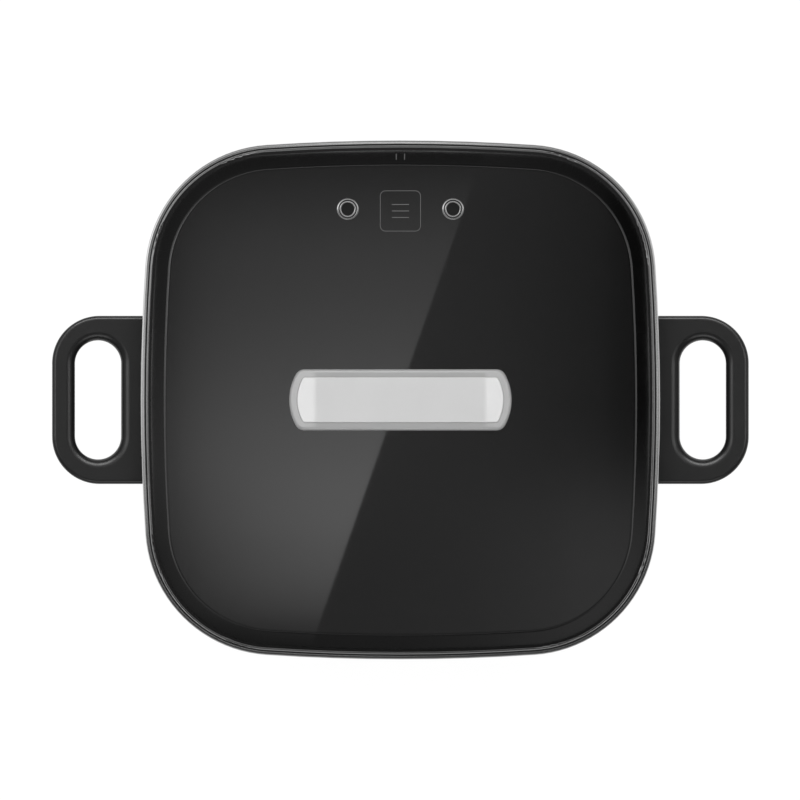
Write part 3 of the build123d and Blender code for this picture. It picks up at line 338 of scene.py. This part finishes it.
def print_ink(name, level):
    """Thin printed ink."""
    m = Material(name)
    worn = m.noise(0.6 * MM, 3.0)
    m.colour(m.mix(worn, grey(level - 8), grey(level + 8)))
    m.roughness(m.span(worn, 0.45, 0.6))
    return m.mat


SHELL = moulded("shell_plastic", 32, 0.36)
HANDLE = moulded("handle_plastic", 17, 0.3, 0.3, 0.014, shine=0.42)
KNOB = moulded("knob_plastic", 42, 0.45, 0.2)
PANEL = moulded("panel_plastic", 34, 0.24, 0.5, 0.004)
BLACK_PART = moulded("component_plastic", 38, 0.5)
BLUE_PART = moulded("terminal_plastic", 110, 0.5, tint=(0.15, 0.5, 1.4))
RUBBER = rubber("foot_rubber", 48)
SILICONE = rubber("black_silicone", 36, 0.5)
TRIM = polished("trim_steel", 232)
VENT = polished("vent_steel", 238, 0.12)
RIM = polished("rim_steel", 158, 0.14)
# One black finish: a seal on the lid rim, and painted shade in the vents' grooves
SEAL_AND_VENT_GROOVE_SHADE = moulded("rim_seal_and_vent_groove_shade", 28, 0.22, 0.5, 0.002)
BRACKET = brushed("bracket_steel", 190)
SCREW = brushed("screw_steel", 205, 0.25)
SHIELD = brushed("shield_steel", 200, 0.3)
SPRING = polished("spring_wire", 205, 0.15)
PLATE = turned("plate_aluminium", 205, 0.36, 0.9 * MM)
PROBE = turned("probe_aluminium", 222, 0.24, 0.5 * MM)
KNOB_METAL = brushed("knob_aluminium", 212, 0.26)
ELEMENT = brushed("element_steel", 150, 0.45, (1.05, 0.98, 0.9))
BRASS = brushed("plated_brass", 225, 0.25, (1.0, 0.93, 0.72))
CAN = brushed("component_can", 190, 0.3)
CORE = brushed("transformer_core", 130, 0.5, (1.1, 0.9, 0.6))
POT = coating("pot_coating", 58, 0.34, 92)
GLASS = smoked_glass("smoked_glass", 60)
SILVER = silver_paint("silver_paint", 166, 0.4)
SILVER_PLATE = silver_paint("silver_plate", 208, 0.32, 0.14)
BOARD = circuit_board("circuit_board")
RED_LENS = glossy_plastic("red_lens", (0.45, 0.02, 0.015, 1), 0.12, Transmission_Weight=0.4)
WHITE_MARK = glossy_plastic("white_mark", grey(236), 0.3)
BROWN_WIRE = glossy_plastic("brown_wire", (0.08, 0.03, 0.015, 1), 0.4)
WHITE_WIRE = glossy_plastic("white_sleeve", grey(220), 0.6)
GREEN_WIRE = glossy_plastic("green_wire", (0.10, 0.30, 0.03, 1), 0.4)
INK = print_ink("white_ink", 225)
GLASS_INK = print_ink("grey_ink", 92)
JOINT_MARK = print_ink("joint_mark", 66)

finishes = {
    SHELL: ["base_housing", "bottom_cover"],
    PANEL: ["control_panel"],
    HANDLE: ["left_pot_handle", "right_pot_handle"],
    KNOB: ["control_knob"],
    RUBBER: ["rubber_feet"],
    SILICONE: ["plate_seal", "lid_gasket", "lid_handle_pads"],
    TRIM: ["pot_trim_ring"],
    VENT: ["left_steam_vent", "right_steam_vent"],
    RIM: ["lid_rim"],
    BRACKET: ["left_handle_bracket", "right_handle_bracket", "switch_nut", "lid_handle_washers",
              "fuse_clip"],
    SCREW: ["cover_screws", "shield_screws", "plate_screws", "control_board_screws",
            "power_board_screws", "inlet_screws", "handle_bracket_screws", "lid_handle_screws"],
    SHIELD: ["heat_shield"],
    SPRING: ["probe_spring"],
    PLATE: ["heating_plate", "probe_guide"],
    PROBE: ["probe_cap"],
    KNOB_METAL: ["knob_face", "knob_shaft"],
    ELEMENT: ["heating_element"],
    BRASS: ["inlet_pins", "element_terminals"],
    CAN: ["filter_capacitors", "thermal_fuse"],
    CORE: ["transformer"],
    POT: ["pot_body"],
    GLASS: ["lid_glass"],
    SILVER: ["lid_handle"],
    SILVER_PLATE: ["lid_handle_inlay"],
    BOARD: ["control_board", "power_board"],
    BLACK_PART: ["rotary_switch", "power_relay", "thermistor", "power_inlet"],
    BLUE_PART: ["terminal_block"],
    RED_LENS: ["indicator_lens", "indicator_led"],
    WHITE_MARK: ["knob_pointer"],
    BROWN_WIRE: ["mains_wires", "signal_cable"],
    WHITE_WIRE: ["element_wires"],
    GREEN_WIRE: ["earth_wire"],
}
for material, names in finishes.items():
    for name in names:
        mesh = nodes[name].data
        mesh.materials.clear()
        mesh.materials.append(material)


# The body's outline: four slightly bowed sides and four round corners, as the CAD has it

body_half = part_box("pot_trim_ring")[1][0]
side_radius, corner_radius = 7.8 * body_half, 0.5 * body_half
side_back = body_half - side_radius
join_share = (body_half - corner_radius) / (side_radius - corner_radius)
join_angle = 45 - math.degrees(math.asin((1 - join_share) / math.sqrt(2)))
corner_centre = (side_radius - corner_radius) * math.sin(math.radians(join_angle))


def outline_point(angle, inset):
    """The point of the outline, moved inwards, whose normal has this direction in degrees."""
    side = round(angle / 90) * 90
    nx, ny = math.cos(math.radians(angle)), math.sin(math.radians(angle))
    if abs(angle - side) <= join_angle:
        cx, cy = side_back * math.cos(math.radians(side)), side_back * math.sin(math.radians(side))
        radius = side_radius
    else:
        cx, cy = math.copysign(corner_centre, nx), math.copysign(corner_centre, ny)
        radius = corner_radius
    return cx + (radius - inset) * nx, cy + (radius - inset) * ny


def inset_of(x, y):
    """How far a point lies inside the outline."""
    along, across = max(abs(x), abs(y)), min(abs(x), abs(y))
    if math.degrees(math.atan2(across, along - side_back)) <= join_angle:
        return side_radius - math.hypot(along - side_back, across)
    return corner_radius - math.hypot(along - corner_centre, across - corner_centre)


# The rim's inner lip and groove are a black seal between the steel and the glass

seal_inset = 4.42 * MM
rim_mesh = nodes["lid_rim"].data
rim_mesh.materials.append(SEAL_AND_VENT_GROOVE_SHADE)
for face in rim_mesh.polygons:
    corners = [rim_mesh.vertices[i].co for i in face.vertices]
    if min(inset_of(corner.x, corner.y) for corner in corners) > seal_inset:
        face.material_index = 1


# New pieces of the object

def add_piece(name, mesh, material, body):
    """A piece that moves with a body and takes its finish from a slot."""
    piece = bpy.data.objects.new(name, mesh)
    bpy.context.scene.collection.objects.link(piece)
    mesh.materials.clear()
    mesh.materials.append(material)
    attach(piece, body)
    return piece


def mesh_piece(name, verts, faces, material, body):
    """A piece made of these vertices and faces."""
    mesh = bpy.data.meshes.new(name)
    mesh.from_pydata(verts, [], faces)
    mesh.update()
    return add_piece(name, mesh, material, body)


# Flat marks on the lid: a printed frame between the vents and the gasket's joint marks

ink_thickness = 0.03 * MM
frame_half, frame_corner, frame_line = 12.0 * MM, 3.2 * MM, 0.28 * MM
frame_before_vents = 1.1 * MM
border_drop = 0.8 * MM
joint_mark_x, joint_mark_inset = 2.45 * MM, 6.0 * MM
joint_mark_half_width, joint_mark_half_length = 0.28 * MM, 1.75 * MM

glass_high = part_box("lid_glass")[1]
panel_top = glass_high[2]
vent_low, vent_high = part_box("right_steam_vent")
vent_y = (vent_low[1] + vent_high[1]) / 2


def bar(verts, faces, x, y, half_x, half_y, z):
    """Adds a flat box to a list of vertices and faces."""
    start = len(verts)
    for level in (z, z + ink_thickness):
        for sx, sy in ((-1, -1), (1, -1), (1, 1), (-1, 1)):
            verts.append((x + sx * half_x, y + sy * half_y, level))
    for face in ((3, 2, 1, 0), (4, 5, 6, 7), (0, 1, 5, 4), (1, 2, 6, 5), (2, 3, 7, 6), (3, 0, 4, 7)):
        faces.append(tuple(start + i for i in face))


def rounded_square(half, corner, steps=8):
    """Points of a square with round corners, anticlockwise."""
    points = []
    for turn, (sx, sy) in enumerate(((1, 1), (-1, 1), (-1, -1), (1, -1))):
        for i in range(steps + 1):
            angle = math.radians(90 * turn + 90 * i / steps)
            points.append((sx * (half - corner) + corner * math.cos(angle),
                           sy * (half - corner) + corner * math.sin(angle)))
    return points


def printed_frame(name, centre, z, half, corner, line):
    """A thin printed outline on the glass, with three plain level lines inside."""
    outer = rounded_square(half, corner)
    inner = rounded_square(half - line, corner - line)
    verts = [(centre[0] + x, centre[1] + y, level)
             for level in (z, z + ink_thickness) for ring in (outer, inner) for x, y in ring]
    faces = []
    count = len(outer)
    low_out, low_in, high_out, high_in = 0, count, 2 * count, 3 * count
    for i in range(count):
        j = (i + 1) % count
        faces.append((high_out + i, high_out + j, high_in + j, high_in + i))
        faces.append((low_out + j, low_out + i, low_in + i, low_in + j))
        faces.append((low_out + i, low_out + j, high_out + j, high_out + i))
        faces.append((low_in + j, low_in + i, high_in + i, high_in + j))
    row_step, row_half_length, row_half_width = 0.32 * half, 0.42 * half, 0.7 * line
    for row in (-1, 0, 1):
        bar(verts, faces, centre[0], centre[1] + row * row_step, row_half_length, row_half_width, z)
    return mesh_piece(name, verts, faces, GLASS_INK, "lid")


def joint_marks(name, y, z):
    """Two short lines moulded in the gasket's border, where its ends meet."""
    verts, faces = [], []
    for side in (-1, 1):
        bar(verts, faces, side * joint_mark_x, y, joint_mark_half_width, joint_mark_half_length, z)
    return mesh_piece(name, verts, faces, JOINT_MARK, "lid")


printed_frame("printed_frame", (0.0, vent_y - frame_before_vents), panel_top,
              frame_half, frame_corner, frame_line)
joint_marks("joint_marks", glass_high[1] - joint_mark_inset, panel_top - border_drop)


# Steam vents: a domed steel eyelet with a groove between its outer ring and its lip

bore, tube = 3.8 * MM, 4.7 * MM
lip_width, lip_round = 1.1 * MM, 0.45 * MM
groove_width, groove_depth, groove_round = 0.5 * MM, 0.9 * MM, 0.3 * MM
dome = 0.8 * MM
glass_thickness = 4.0 * MM
slack = 0.01 * MM

flange = (vent_high[0] - vent_low[0]) / 2
flange_top, flange_bottom = vent_high[2], vent_low[2]
panel_under = panel_top - glass_thickness
groove_in = bore + lip_width
groove_out = groove_in + groove_width


def arc_points(cx, cz, radius, start, end, steps=6):
    """Points (r, z) along an arc, angles in degrees."""
    angles = [math.radians(start + (end - start) * i / steps) for i in range(steps + 1)]
    return [(cx + radius * math.cos(a), cz + radius * math.sin(a)) for a in angles]


def lathe(name, centre, profile, material, body, segments=96):
    """A closed (r, z) profile turned about the vertical line through centre."""
    count = len(profile)
    verts, faces = [], []
    for i in range(segments):
        angle = 2 * math.pi * i / segments
        verts += [(centre[0] + r * math.cos(angle), centre[1] + r * math.sin(angle), z)
                  for r, z in profile]
        here, after = i * count, (i + 1) % segments * count
        for j in range(count):
            k = (j + 1) % count
            faces.append((here + j, after + j, after + k, here + k))
    piece = mesh_piece(name, verts, faces, material, body)
    piece.data.shade_smooth()
    piece.data.set_sharp_from_angle(angle=math.radians(35))
    return piece


def vent_profile():
    """Half section: a lower flange, a tube through the glass, a domed ring, a groove and a lip."""
    profile = [(bore, flange_bottom), (flange - dome, flange_bottom), (flange - dome, panel_under),
               (tube, panel_under), (tube, panel_top), (flange, panel_top)]
    profile += arc_points(flange - dome, flange_top - dome, dome, 0, 90)
    profile += arc_points(groove_out + groove_round, flange_top - groove_round, groove_round, 90, 180)
    profile += [(groove_out, flange_top - groove_depth), (groove_in, flange_top - groove_depth)]
    profile += arc_points(groove_in - lip_round, flange_top - lip_round, lip_round, 0, 90)
    profile += arc_points(bore + lip_round, flange_top - lip_round, lip_round, 90, 180)
    return profile


for name in ("left_steam_vent", "right_steam_vent"):
    low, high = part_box(name)
    centre = ((low[0] + high[0]) / 2, (low[1] + high[1]) / 2)
    eyelet = lathe(name.replace("steam_vent", "vent_eyelet"), centre, vent_profile(), VENT,
                   "lid")
    # The groove above the glass takes the black seal finish: this is painted shade in the eyelet's groove
    eyelet.data.materials.append(SEAL_AND_VENT_GROOVE_SHADE)
    for face in eyelet.data.polygons:
        reach = math.hypot(face.center.x - centre[0], face.center.y - centre[1])
        if groove_in - slack < reach < groove_out + slack and face.center.z > panel_top:
            face.material_index = 1
    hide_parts(name)


# The probe's spring between the guide and the probe, which shortens as the pot presses the probe down,
# drawn here as a coil of round wire at one fixed length

spring_wire_radius = 0.6 * MM
spring_turns = 6

spring_low, spring_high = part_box("probe_spring")
spring_radius = (spring_high[0] - spring_low[0]) / 2 - spring_wire_radius
spring_centre = ((spring_low[0] + spring_high[0]) / 2, (spring_low[1] + spring_high[1]) / 2)


def coil(name, centre, radius, wire_radius, low, high, turns, material, body):
    """A compression spring of round wire whose end turns lie close together."""
    sides, steps_per_turn, closed_turns = 10, 60, 0.8
    closed_pitch = 2.3 * wire_radius
    open_height = high - low - 2 * (wire_radius + closed_turns * closed_pitch)
    open_pitch = open_height / (turns - 2 * closed_turns)
    verts, faces = [], []
    count = round(turns * steps_per_turn) + 1
    for i in range(count):
        turn = turns * i / (count - 1)
        at_ends = min(turn, closed_turns) + max(turn - (turns - closed_turns), 0)
        z = low + wire_radius + closed_pitch * at_ends + open_pitch * (turn - at_ends)
        angle = 2 * math.pi * turn
        for j in range(sides):
            around = 2 * math.pi * j / sides
            reach = radius + wire_radius * math.cos(around)
            verts.append((centre[0] + reach * math.cos(angle), centre[1] + reach * math.sin(angle),
                          z + wire_radius * math.sin(around)))
    for i in range(count - 1):
        here, after = sides * i, sides * (i + 1)
        for j in range(sides):
            k = (j + 1) % sides
            faces.append((here + j, after + j, after + k, here + k))
    faces.append(tuple(range(sides)))
    faces.append(tuple(reversed(range(sides * (count - 1), sides * count))))
    piece = mesh_piece(name, verts, faces, material, body)
    piece.data.shade_smooth()
    return piece


probe_coil = coil("probe_coil", spring_centre, spring_radius, spring_wire_radius, spring_low[2],
                  spring_high[2], spring_turns, SPRING, "base")
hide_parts("probe_spring")
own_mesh(probe_coil)


# Dial marks round the knob

number_size, word_size = 2.7 * MM, 2.1 * MM
dial_gap = 2.0 * MM
ink_lift, text_depth = 0.01 * MM, 0.02 * MM
dial_steps, step_angle = 5, 54

knob_low, knob_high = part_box("control_knob")
knob_z = (knob_low[2] + knob_high[2]) / 2
dial_radius = (knob_high[2] - knob_low[2]) / 2 + dial_gap
face_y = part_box("control_panel")[0][1] - ink_lift


def dial_text(name, words, size, x, z, y):
    """Upright lettering that faces the front."""
    curve = bpy.data.curves.new(name, "FONT")
    curve.body = words
    curve.size = size
    curve.align_x = "CENTER"
    curve.align_y = "CENTER"
    curve.extrude = text_depth
    text = bpy.data.objects.new(name + "_curve", curve)
    bpy.context.scene.collection.objects.link(text)
    text.rotation_euler = (math.pi / 2, 0, 0)
    text.location = (x, y, z)
    bpy.context.view_layer.update()
    mesh = bpy.data.meshes.new_from_object(text)
    mesh.transform(text.matrix_world)
    mesh.name = name
    bpy.data.objects.remove(text)
    return add_piece(name, mesh, INK, "base")


for number in range(dial_steps + 1):
    angle = math.radians(90 - step_angle * number)
    words = "OFF" if number == 0 else str(number)
    dial_text("dial_" + words.lower(), words, word_size if number == 0 else number_size,
              dial_radius * math.cos(angle), knob_z + dial_radius * math.sin(angle), face_y)


# Room: white for the camera, dim with a dark horizon in reflections, soft light for the rest

ambient = 0.42

world = bpy.data.worlds.new("studio")
bpy.context.scene.world = world
world.use_nodes = True
room = Nodes(world.node_tree)
background = room.tree.nodes["Background"]
background.inputs["Color"].default_value = (1, 1, 1, 1)
to_right, to_rear, upward = room.axes(room.add("ShaderNodeTexCoord").outputs["Generated"])
by_height = room.curve(upward, [(0.0, 0.03), (0.3, 0.05), (0.5, 0.22), (0.65, 0.5), (0.8, 0.6),
                                (0.92, 0.42), (1.0, 0.34)], 0.0, 1.0)
by_depth = room.curve(to_rear, [(-1.0, 0.9), (-0.8, 0.8), (-0.5, 0.2), (-0.3, 0.08), (-0.1, 0.08),
                                (0.0, 0.7), (0.12, 1.6), (0.3, 1.3), (0.55, 0.5), (0.8, 0.45),
                                (1.0, 0.5)], -1.0, 1.0)
by_side = room.curve(to_right, [(-1.0, 1.4), (-0.3, 1.2), (0.3, 0.8), (1.0, 0.6)], -1.0, 1.0)
wall_side = room.curve(to_right, [(-1.0, 0.6), (-0.3, 0.1), (0.3, 0.08), (1.0, 0.55)], -1.0, 1.0)
wall_height = room.curve(upward, [(0.0, 0.5), (0.2, 0.9), (0.5, 0.9), (0.75, 0.3), (1.0, 0.0)],
                         0.0, 1.0)
reflected = room.plus(room.times(by_height, by_depth, by_side), room.times(wall_side, wall_height))
strength = room.choose(room.rays("Is Glossy Ray"), ambient, reflected)
strength = room.choose(room.rays("Is Camera Ray", "Is Transmission Ray"), strength, 1.0)
room.feed(background.inputs["Strength"], strength)


# Floor: even light makes up most of it, and the rest of it takes the object's shadow

floor_half = 40.0
floor_share = 0.91


def layered(m, under, kinds, level):
    """Even light over a shader, for rays of the named kinds."""
    glow = m.add("ShaderNodeEmission")
    glow.inputs["Strength"].default_value = level
    blend = m.add("ShaderNodeMixShader")
    m.feed(blend.inputs["Fac"], m.times(m.rays(*kinds), floor_share))
    m.feed(blend.inputs[1], under)
    m.feed(blend.inputs[2], glow.outputs["Emission"])
    return blend.outputs["Shader"]


def pale_floor():
    """Matt near-white paper."""
    m = Material("pale_floor")
    m.set(Base_Color=(0.92, 0.92, 0.92, 1), Roughness=0.9, Specular_IOR_Level=0.0)
    surface = layered(m, m.shader.outputs["BSDF"], ("Is Camera Ray", "Is Transmission Ray"), 1.04)
    m.show(layered(m, surface, ("Is Glossy Ray",), 0.9))
    return m.mat


floor_mesh = bpy.data.meshes.new("floor")
floor_mesh.from_pydata([(sx * floor_half, sy * floor_half, 0)
                        for sx, sy in ((-1, -1), (1, -1), (1, 1), (-1, 1))], [], [(0, 1, 2, 3)])
floor_mesh.materials.append(pale_floor())
floor = bpy.data.objects.new("floor", floor_mesh)
bpy.context.scene.collection.objects.link(floor)


# Lamps

target = (0, 0, 0.1)


def light(name, location, size, radiance, aim=target):
    """A softbox whose face is as bright as radiance."""
    data = bpy.data.lights.new(name, "AREA")
    data.shape = "RECTANGLE"
    data.size, data.size_y = size
    data.energy = radiance * math.pi * size[0] * size[1]
    lamp = bpy.data.objects.new(name, data)
    bpy.context.scene.collection.objects.link(lamp)
    lamp.location = location
    lamp.rotation_euler = (Vector(aim) - Vector(location)).to_track_quat("-Z", "Y").to_euler()
    return lamp


def shine_on(group_name, lamps, pieces):
    """These lamps light these pieces only."""
    lit_pieces = bpy.data.collections.new(group_name)
    for piece in pieces:
        lit_pieces.objects.link(piece)
    for lamp in lamps:
        lamp.light_linking.receiver_collection = lit_pieces


def hide_from(item, *kinds):
    """Rays of these kinds pass a lamp or a card by."""
    for kind in kinds:
        setattr(item, "visible_" + kind, False)


satin_lights = [light("rear_softbox", (0, 1.6, 1.7), (3.6, 1.6), 1.8),
                light("front_softbox", (0, -1.8, 1.7), (2.0, 0.8), 2.2),
                light("left_softbox", (-1.2, 0.1, 2.1), (0.5, 1.4), 3.0),
                light("right_softbox", (1.2, 0.1, 2.1), (0.5, 1.4), 3.0)]
wall_lights = [light("front_left_strip", (-1.5, -1.6, 0.9), (0.5, 1.5), 6.0),
               light("front_right_strip", (1.9, -0.9, 0.7), (0.4, 1.3), 3.0),
               light("rear_left_strip", (-1.9, 1.0, 0.7), (0.4, 1.3), 3.0),
               light("rear_right_strip", (1.5, 1.6, 0.9), (0.5, 1.5), 5.0)]

# The mirror-bright pieces get their light from the room and the cards alone, and the strips
# reach only what lies below the lid
mirrors = ["pot_trim_ring", "lid_rim", "lid_glass", "left_vent_eyelet", "right_vent_eyelet"]
pot_handles = ["left_pot_handle", "right_pot_handle"]
over_walls = mirrors + pot_handles + ["lid_handle", "lid_handle_inlay", "lid_gasket"]
meshes = [piece for piece in bpy.context.scene.objects if piece.type == "MESH"]
shine_on("satin_pieces", satin_lights, [piece for piece in meshes if piece.name not in mirrors])
shine_on("wall_pieces", wall_lights, [piece for piece in meshes if piece.name not in over_walls])

# A narrow strip draws the lines along the pot handles' rear edges
handle_strip = light("handle_strip", (0, 1.5, 1.5), (2.4, 0.6), 6.0)
shine_on("pot_handles", [handle_strip], [nodes[name] for name in pot_handles])

# The light that the smoked glass lets into the pot
inner = light("inner_light", (0, 0, 0.14), (0.2, 0.2), 1.1, aim=(0, 0, 0))
hide_from(inner, "camera", "glossy", "transmission")
shine_on("pot_inside", [inner], [nodes["pot_body"]])


# Camera: a long lens straight above, as far off as makes the picture's scale at the lid

photo_width = 800
metres_per_px = 0.589 * MM
body_centre_px = (400.4, 399.9)
lens, sensor = 1000, 36

distance = photo_width * metres_per_px * lens / sensor
camera_x = (photo_width / 2 - body_centre_px[0]) * metres_per_px
camera_y = (body_centre_px[1] - photo_width / 2) * metres_per_px

camera_data = bpy.data.cameras.new("camera")
camera_data.lens = lens
camera_data.sensor_width = sensor
camera_data.clip_end = 100
camera = bpy.data.objects.new("camera", camera_data)
bpy.context.scene.collection.objects.link(camera)
camera.location = (camera_x, camera_y, panel_top + distance)
bpy.context.scene.camera = camera


# Reflection cards above the lid, seen only in reflections. Each covers the mirror image of what
# it lights, so its places are given as the places on the lid

card_z = 0.95
spread = 1 + (card_z - panel_top) / distance
card_points = 144
lid_reach = 0.155


def mirrored(point):
    """The place on a card that the camera sees mirrored at a point of the lid."""
    return (point[0] + (point[0] - camera_x) * (spread - 1),
            point[1] + (point[1] - camera_y) * (spread - 1), card_z)


def card(name, outer, inner=None):
    """A card over the body's outline between two insets: its material, with x and y on the lid."""
    angles = [360 * i / card_points for i in range(card_points)]
    verts = [mirrored(outline_point(angle, outer)) for angle in angles]
    if inner is None:
        faces = [tuple(reversed(range(card_points)))]
    else:
        verts += [mirrored(outline_point(angle, inner)) for angle in angles]
        faces = [(i, card_points + i, card_points + (i + 1) % card_points, (i + 1) % card_points)
                 for i in range(card_points)]
    mesh = bpy.data.meshes.new(name)
    mesh.from_pydata(verts, [], faces)
    piece = bpy.data.objects.new(name, mesh)
    bpy.context.scene.collection.objects.link(piece)
    hide_from(piece, "camera", "diffuse", "shadow", "transmission", "volume_scatter")
    m = Material(name + "_light")
    m.tree.nodes.remove(m.shader)
    mesh.materials.append(m.mat)
    x, y, _ = m.axes(m.stretch((1 / spread,) * 3))
    return m, x, y


def lit(m, strength):
    """Makes a card shine."""
    glow = m.add("ShaderNodeEmission")
    m.feed(glow.inputs["Strength"], strength)
    m.show(glow.outputs["Emission"])


# What the glass reflects: a bright sheet left of a slanting edge, and a dim room right of it

# The share of a card's glow that shows in the glass, and the grey of the glass under a dark card
mirror_share, unlit_grey = 0.1265, 23
least_glow = 0.004
edge_top_px, edge_low_px = (455, 235), (310, 650)

# Picture rows or columns, with the grey that the glass has there
sheet_greys = [(655, 38), (630, 51), (600, 68), (550, 81), (500, 86), (450, 83), (400, 77),
               (350, 70), (300, 64), (250, 59), (200, 50), (170, 43), (150, 38)]
rear_room_greys = [(300, 49), (400, 46), (450, 44), (500, 42), (550, 39), (600, 35), (625, 30),
                   (650, 26)]
front_room_greys = [(300, 43), (400, 44), (450, 45), (500, 47), (550, 50), (600, 53), (650, 50)]

# Picture columns, with the share of the sheet's brightness that is left towards its side
rear_fade = [(145, 0.38), (165, 0.45), (190, 0.65), (215, 0.80), (240, 0.88), (265, 0.93),
             (290, 0.96), (340, 1.0), (500, 1.0)]
front_fade = [(145, 0.25), (165, 0.32), (190, 0.46), (215, 0.62), (240, 0.75), (265, 0.86),
              (290, 0.94), (340, 1.05), (500, 1.05)]

# Picture rows, with the share of the rear's look
rear_look = [(650, 0.0), (570, 0.0), (400, 1.0), (150, 1.0)]


def on_lid(x, y):
    """A point of the picture on the lid, in metres."""
    return (x - body_centre_px[0]) * metres_per_px, (body_centre_px[1] - y) * metres_per_px


def glows(pairs):
    """(place, picture grey) pairs as the card's glow that gives the dark glass that grey."""
    return [(place, max(tone(level) - tone(unlit_grey), least_glow) / mirror_share)
            for place, level in pairs]


def along_x(m, x, pairs):
    """A curve along x from (picture column, level) pairs."""
    stops = sorted((on_lid(column, 0)[0], level) for column, level in pairs)
    return m.curve(x, stops, -lid_reach, lid_reach)


def along_y(m, y, pairs):
    """A curve along y from (picture row, level) pairs."""
    stops = sorted((on_lid(0, row)[1], level) for row, level in pairs)
    return m.curve(y, stops, -lid_reach, lid_reach)


def glass_light(m, x, y):
    """The card's glow over a point of the lid."""
    edge_top, edge_low = Vector(on_lid(*edge_top_px)), Vector(on_lid(*edge_low_px))
    edge = (edge_low - edge_top).normalized()
    normal = Vector((-edge.y, edge.x))
    offset = m.plus(m.times(x, normal.x), m.times(y, normal.y))
    left_of_edge = m.math("LESS_THAN", m.math("SUBTRACT", offset, normal.dot(edge_top)), 0.0)
    at_rear = along_y(m, y, rear_look)
    dim_room = m.choose(at_rear, along_x(m, x, glows(front_room_greys)),
                        along_x(m, x, glows(rear_room_greys)))
    fade = m.choose(at_rear, along_x(m, x, front_fade), along_x(m, x, rear_fade))
    bright_sheet = m.times(along_y(m, y, glows(sheet_greys)), fade)
    return m.choose(left_of_edge, dim_room, bright_sheet)


panel_inset, border_inset, rim_inset, rim_overhang = 13.8 * MM, 6.4 * MM, 6.2 * MM, 30 * MM

panel_card, x, y = card("panel_card", panel_inset)
lit(panel_card, glass_light(panel_card, x, y))

# The border round the panel reflects less, except at the right front corner
border_share, corner_gain, corner_most = 0.76, 25.0, 0.3
border_card, x, y = card("border_card", border_inset, panel_inset)
to_corner = border_card.times(border_card.math("MAXIMUM", x, 0.0),
                              border_card.math("MAXIMUM", border_card.times(y, -1.0), 0.0))
corner_share = border_card.math("MINIMUM", border_card.times(to_corner, corner_gain), corner_most)
lit(border_card, border_card.times(glass_light(border_card, x, y),
                                   border_card.plus(corner_share, border_share)))

# The steel rims reflect most at the rear, and less at the corners
diagonal_gain, diagonal_share, diagonal_most = 90.0, 0.5, 0.8
rim_card, x, y = card("rim_card", -rim_overhang, rim_inset)
lengthwise = rim_card.curve(y, [(-lid_reach, 0.03), (-0.12, 0.05), (-0.05, 0.42), (0.03, 0.6),
                                (0.11, 0.65), (lid_reach, 0.9)], -lid_reach, lid_reach)
sideways = rim_card.curve(x, [(-lid_reach, 1.1), (0.0, 0.9), (lid_reach, 1.1)], -lid_reach, lid_reach)
diagonal = rim_card.times(x, y, diagonal_gain)
at_corner = rim_card.math("MINIMUM", rim_card.times(diagonal, diagonal, diagonal_share), diagonal_most)
lit(rim_card, rim_card.times(lengthwise, sideways, rim_card.math("SUBTRACT", 1.0, at_corner)))

bpy.context.scene.view_settings.view_transform = "Standard"
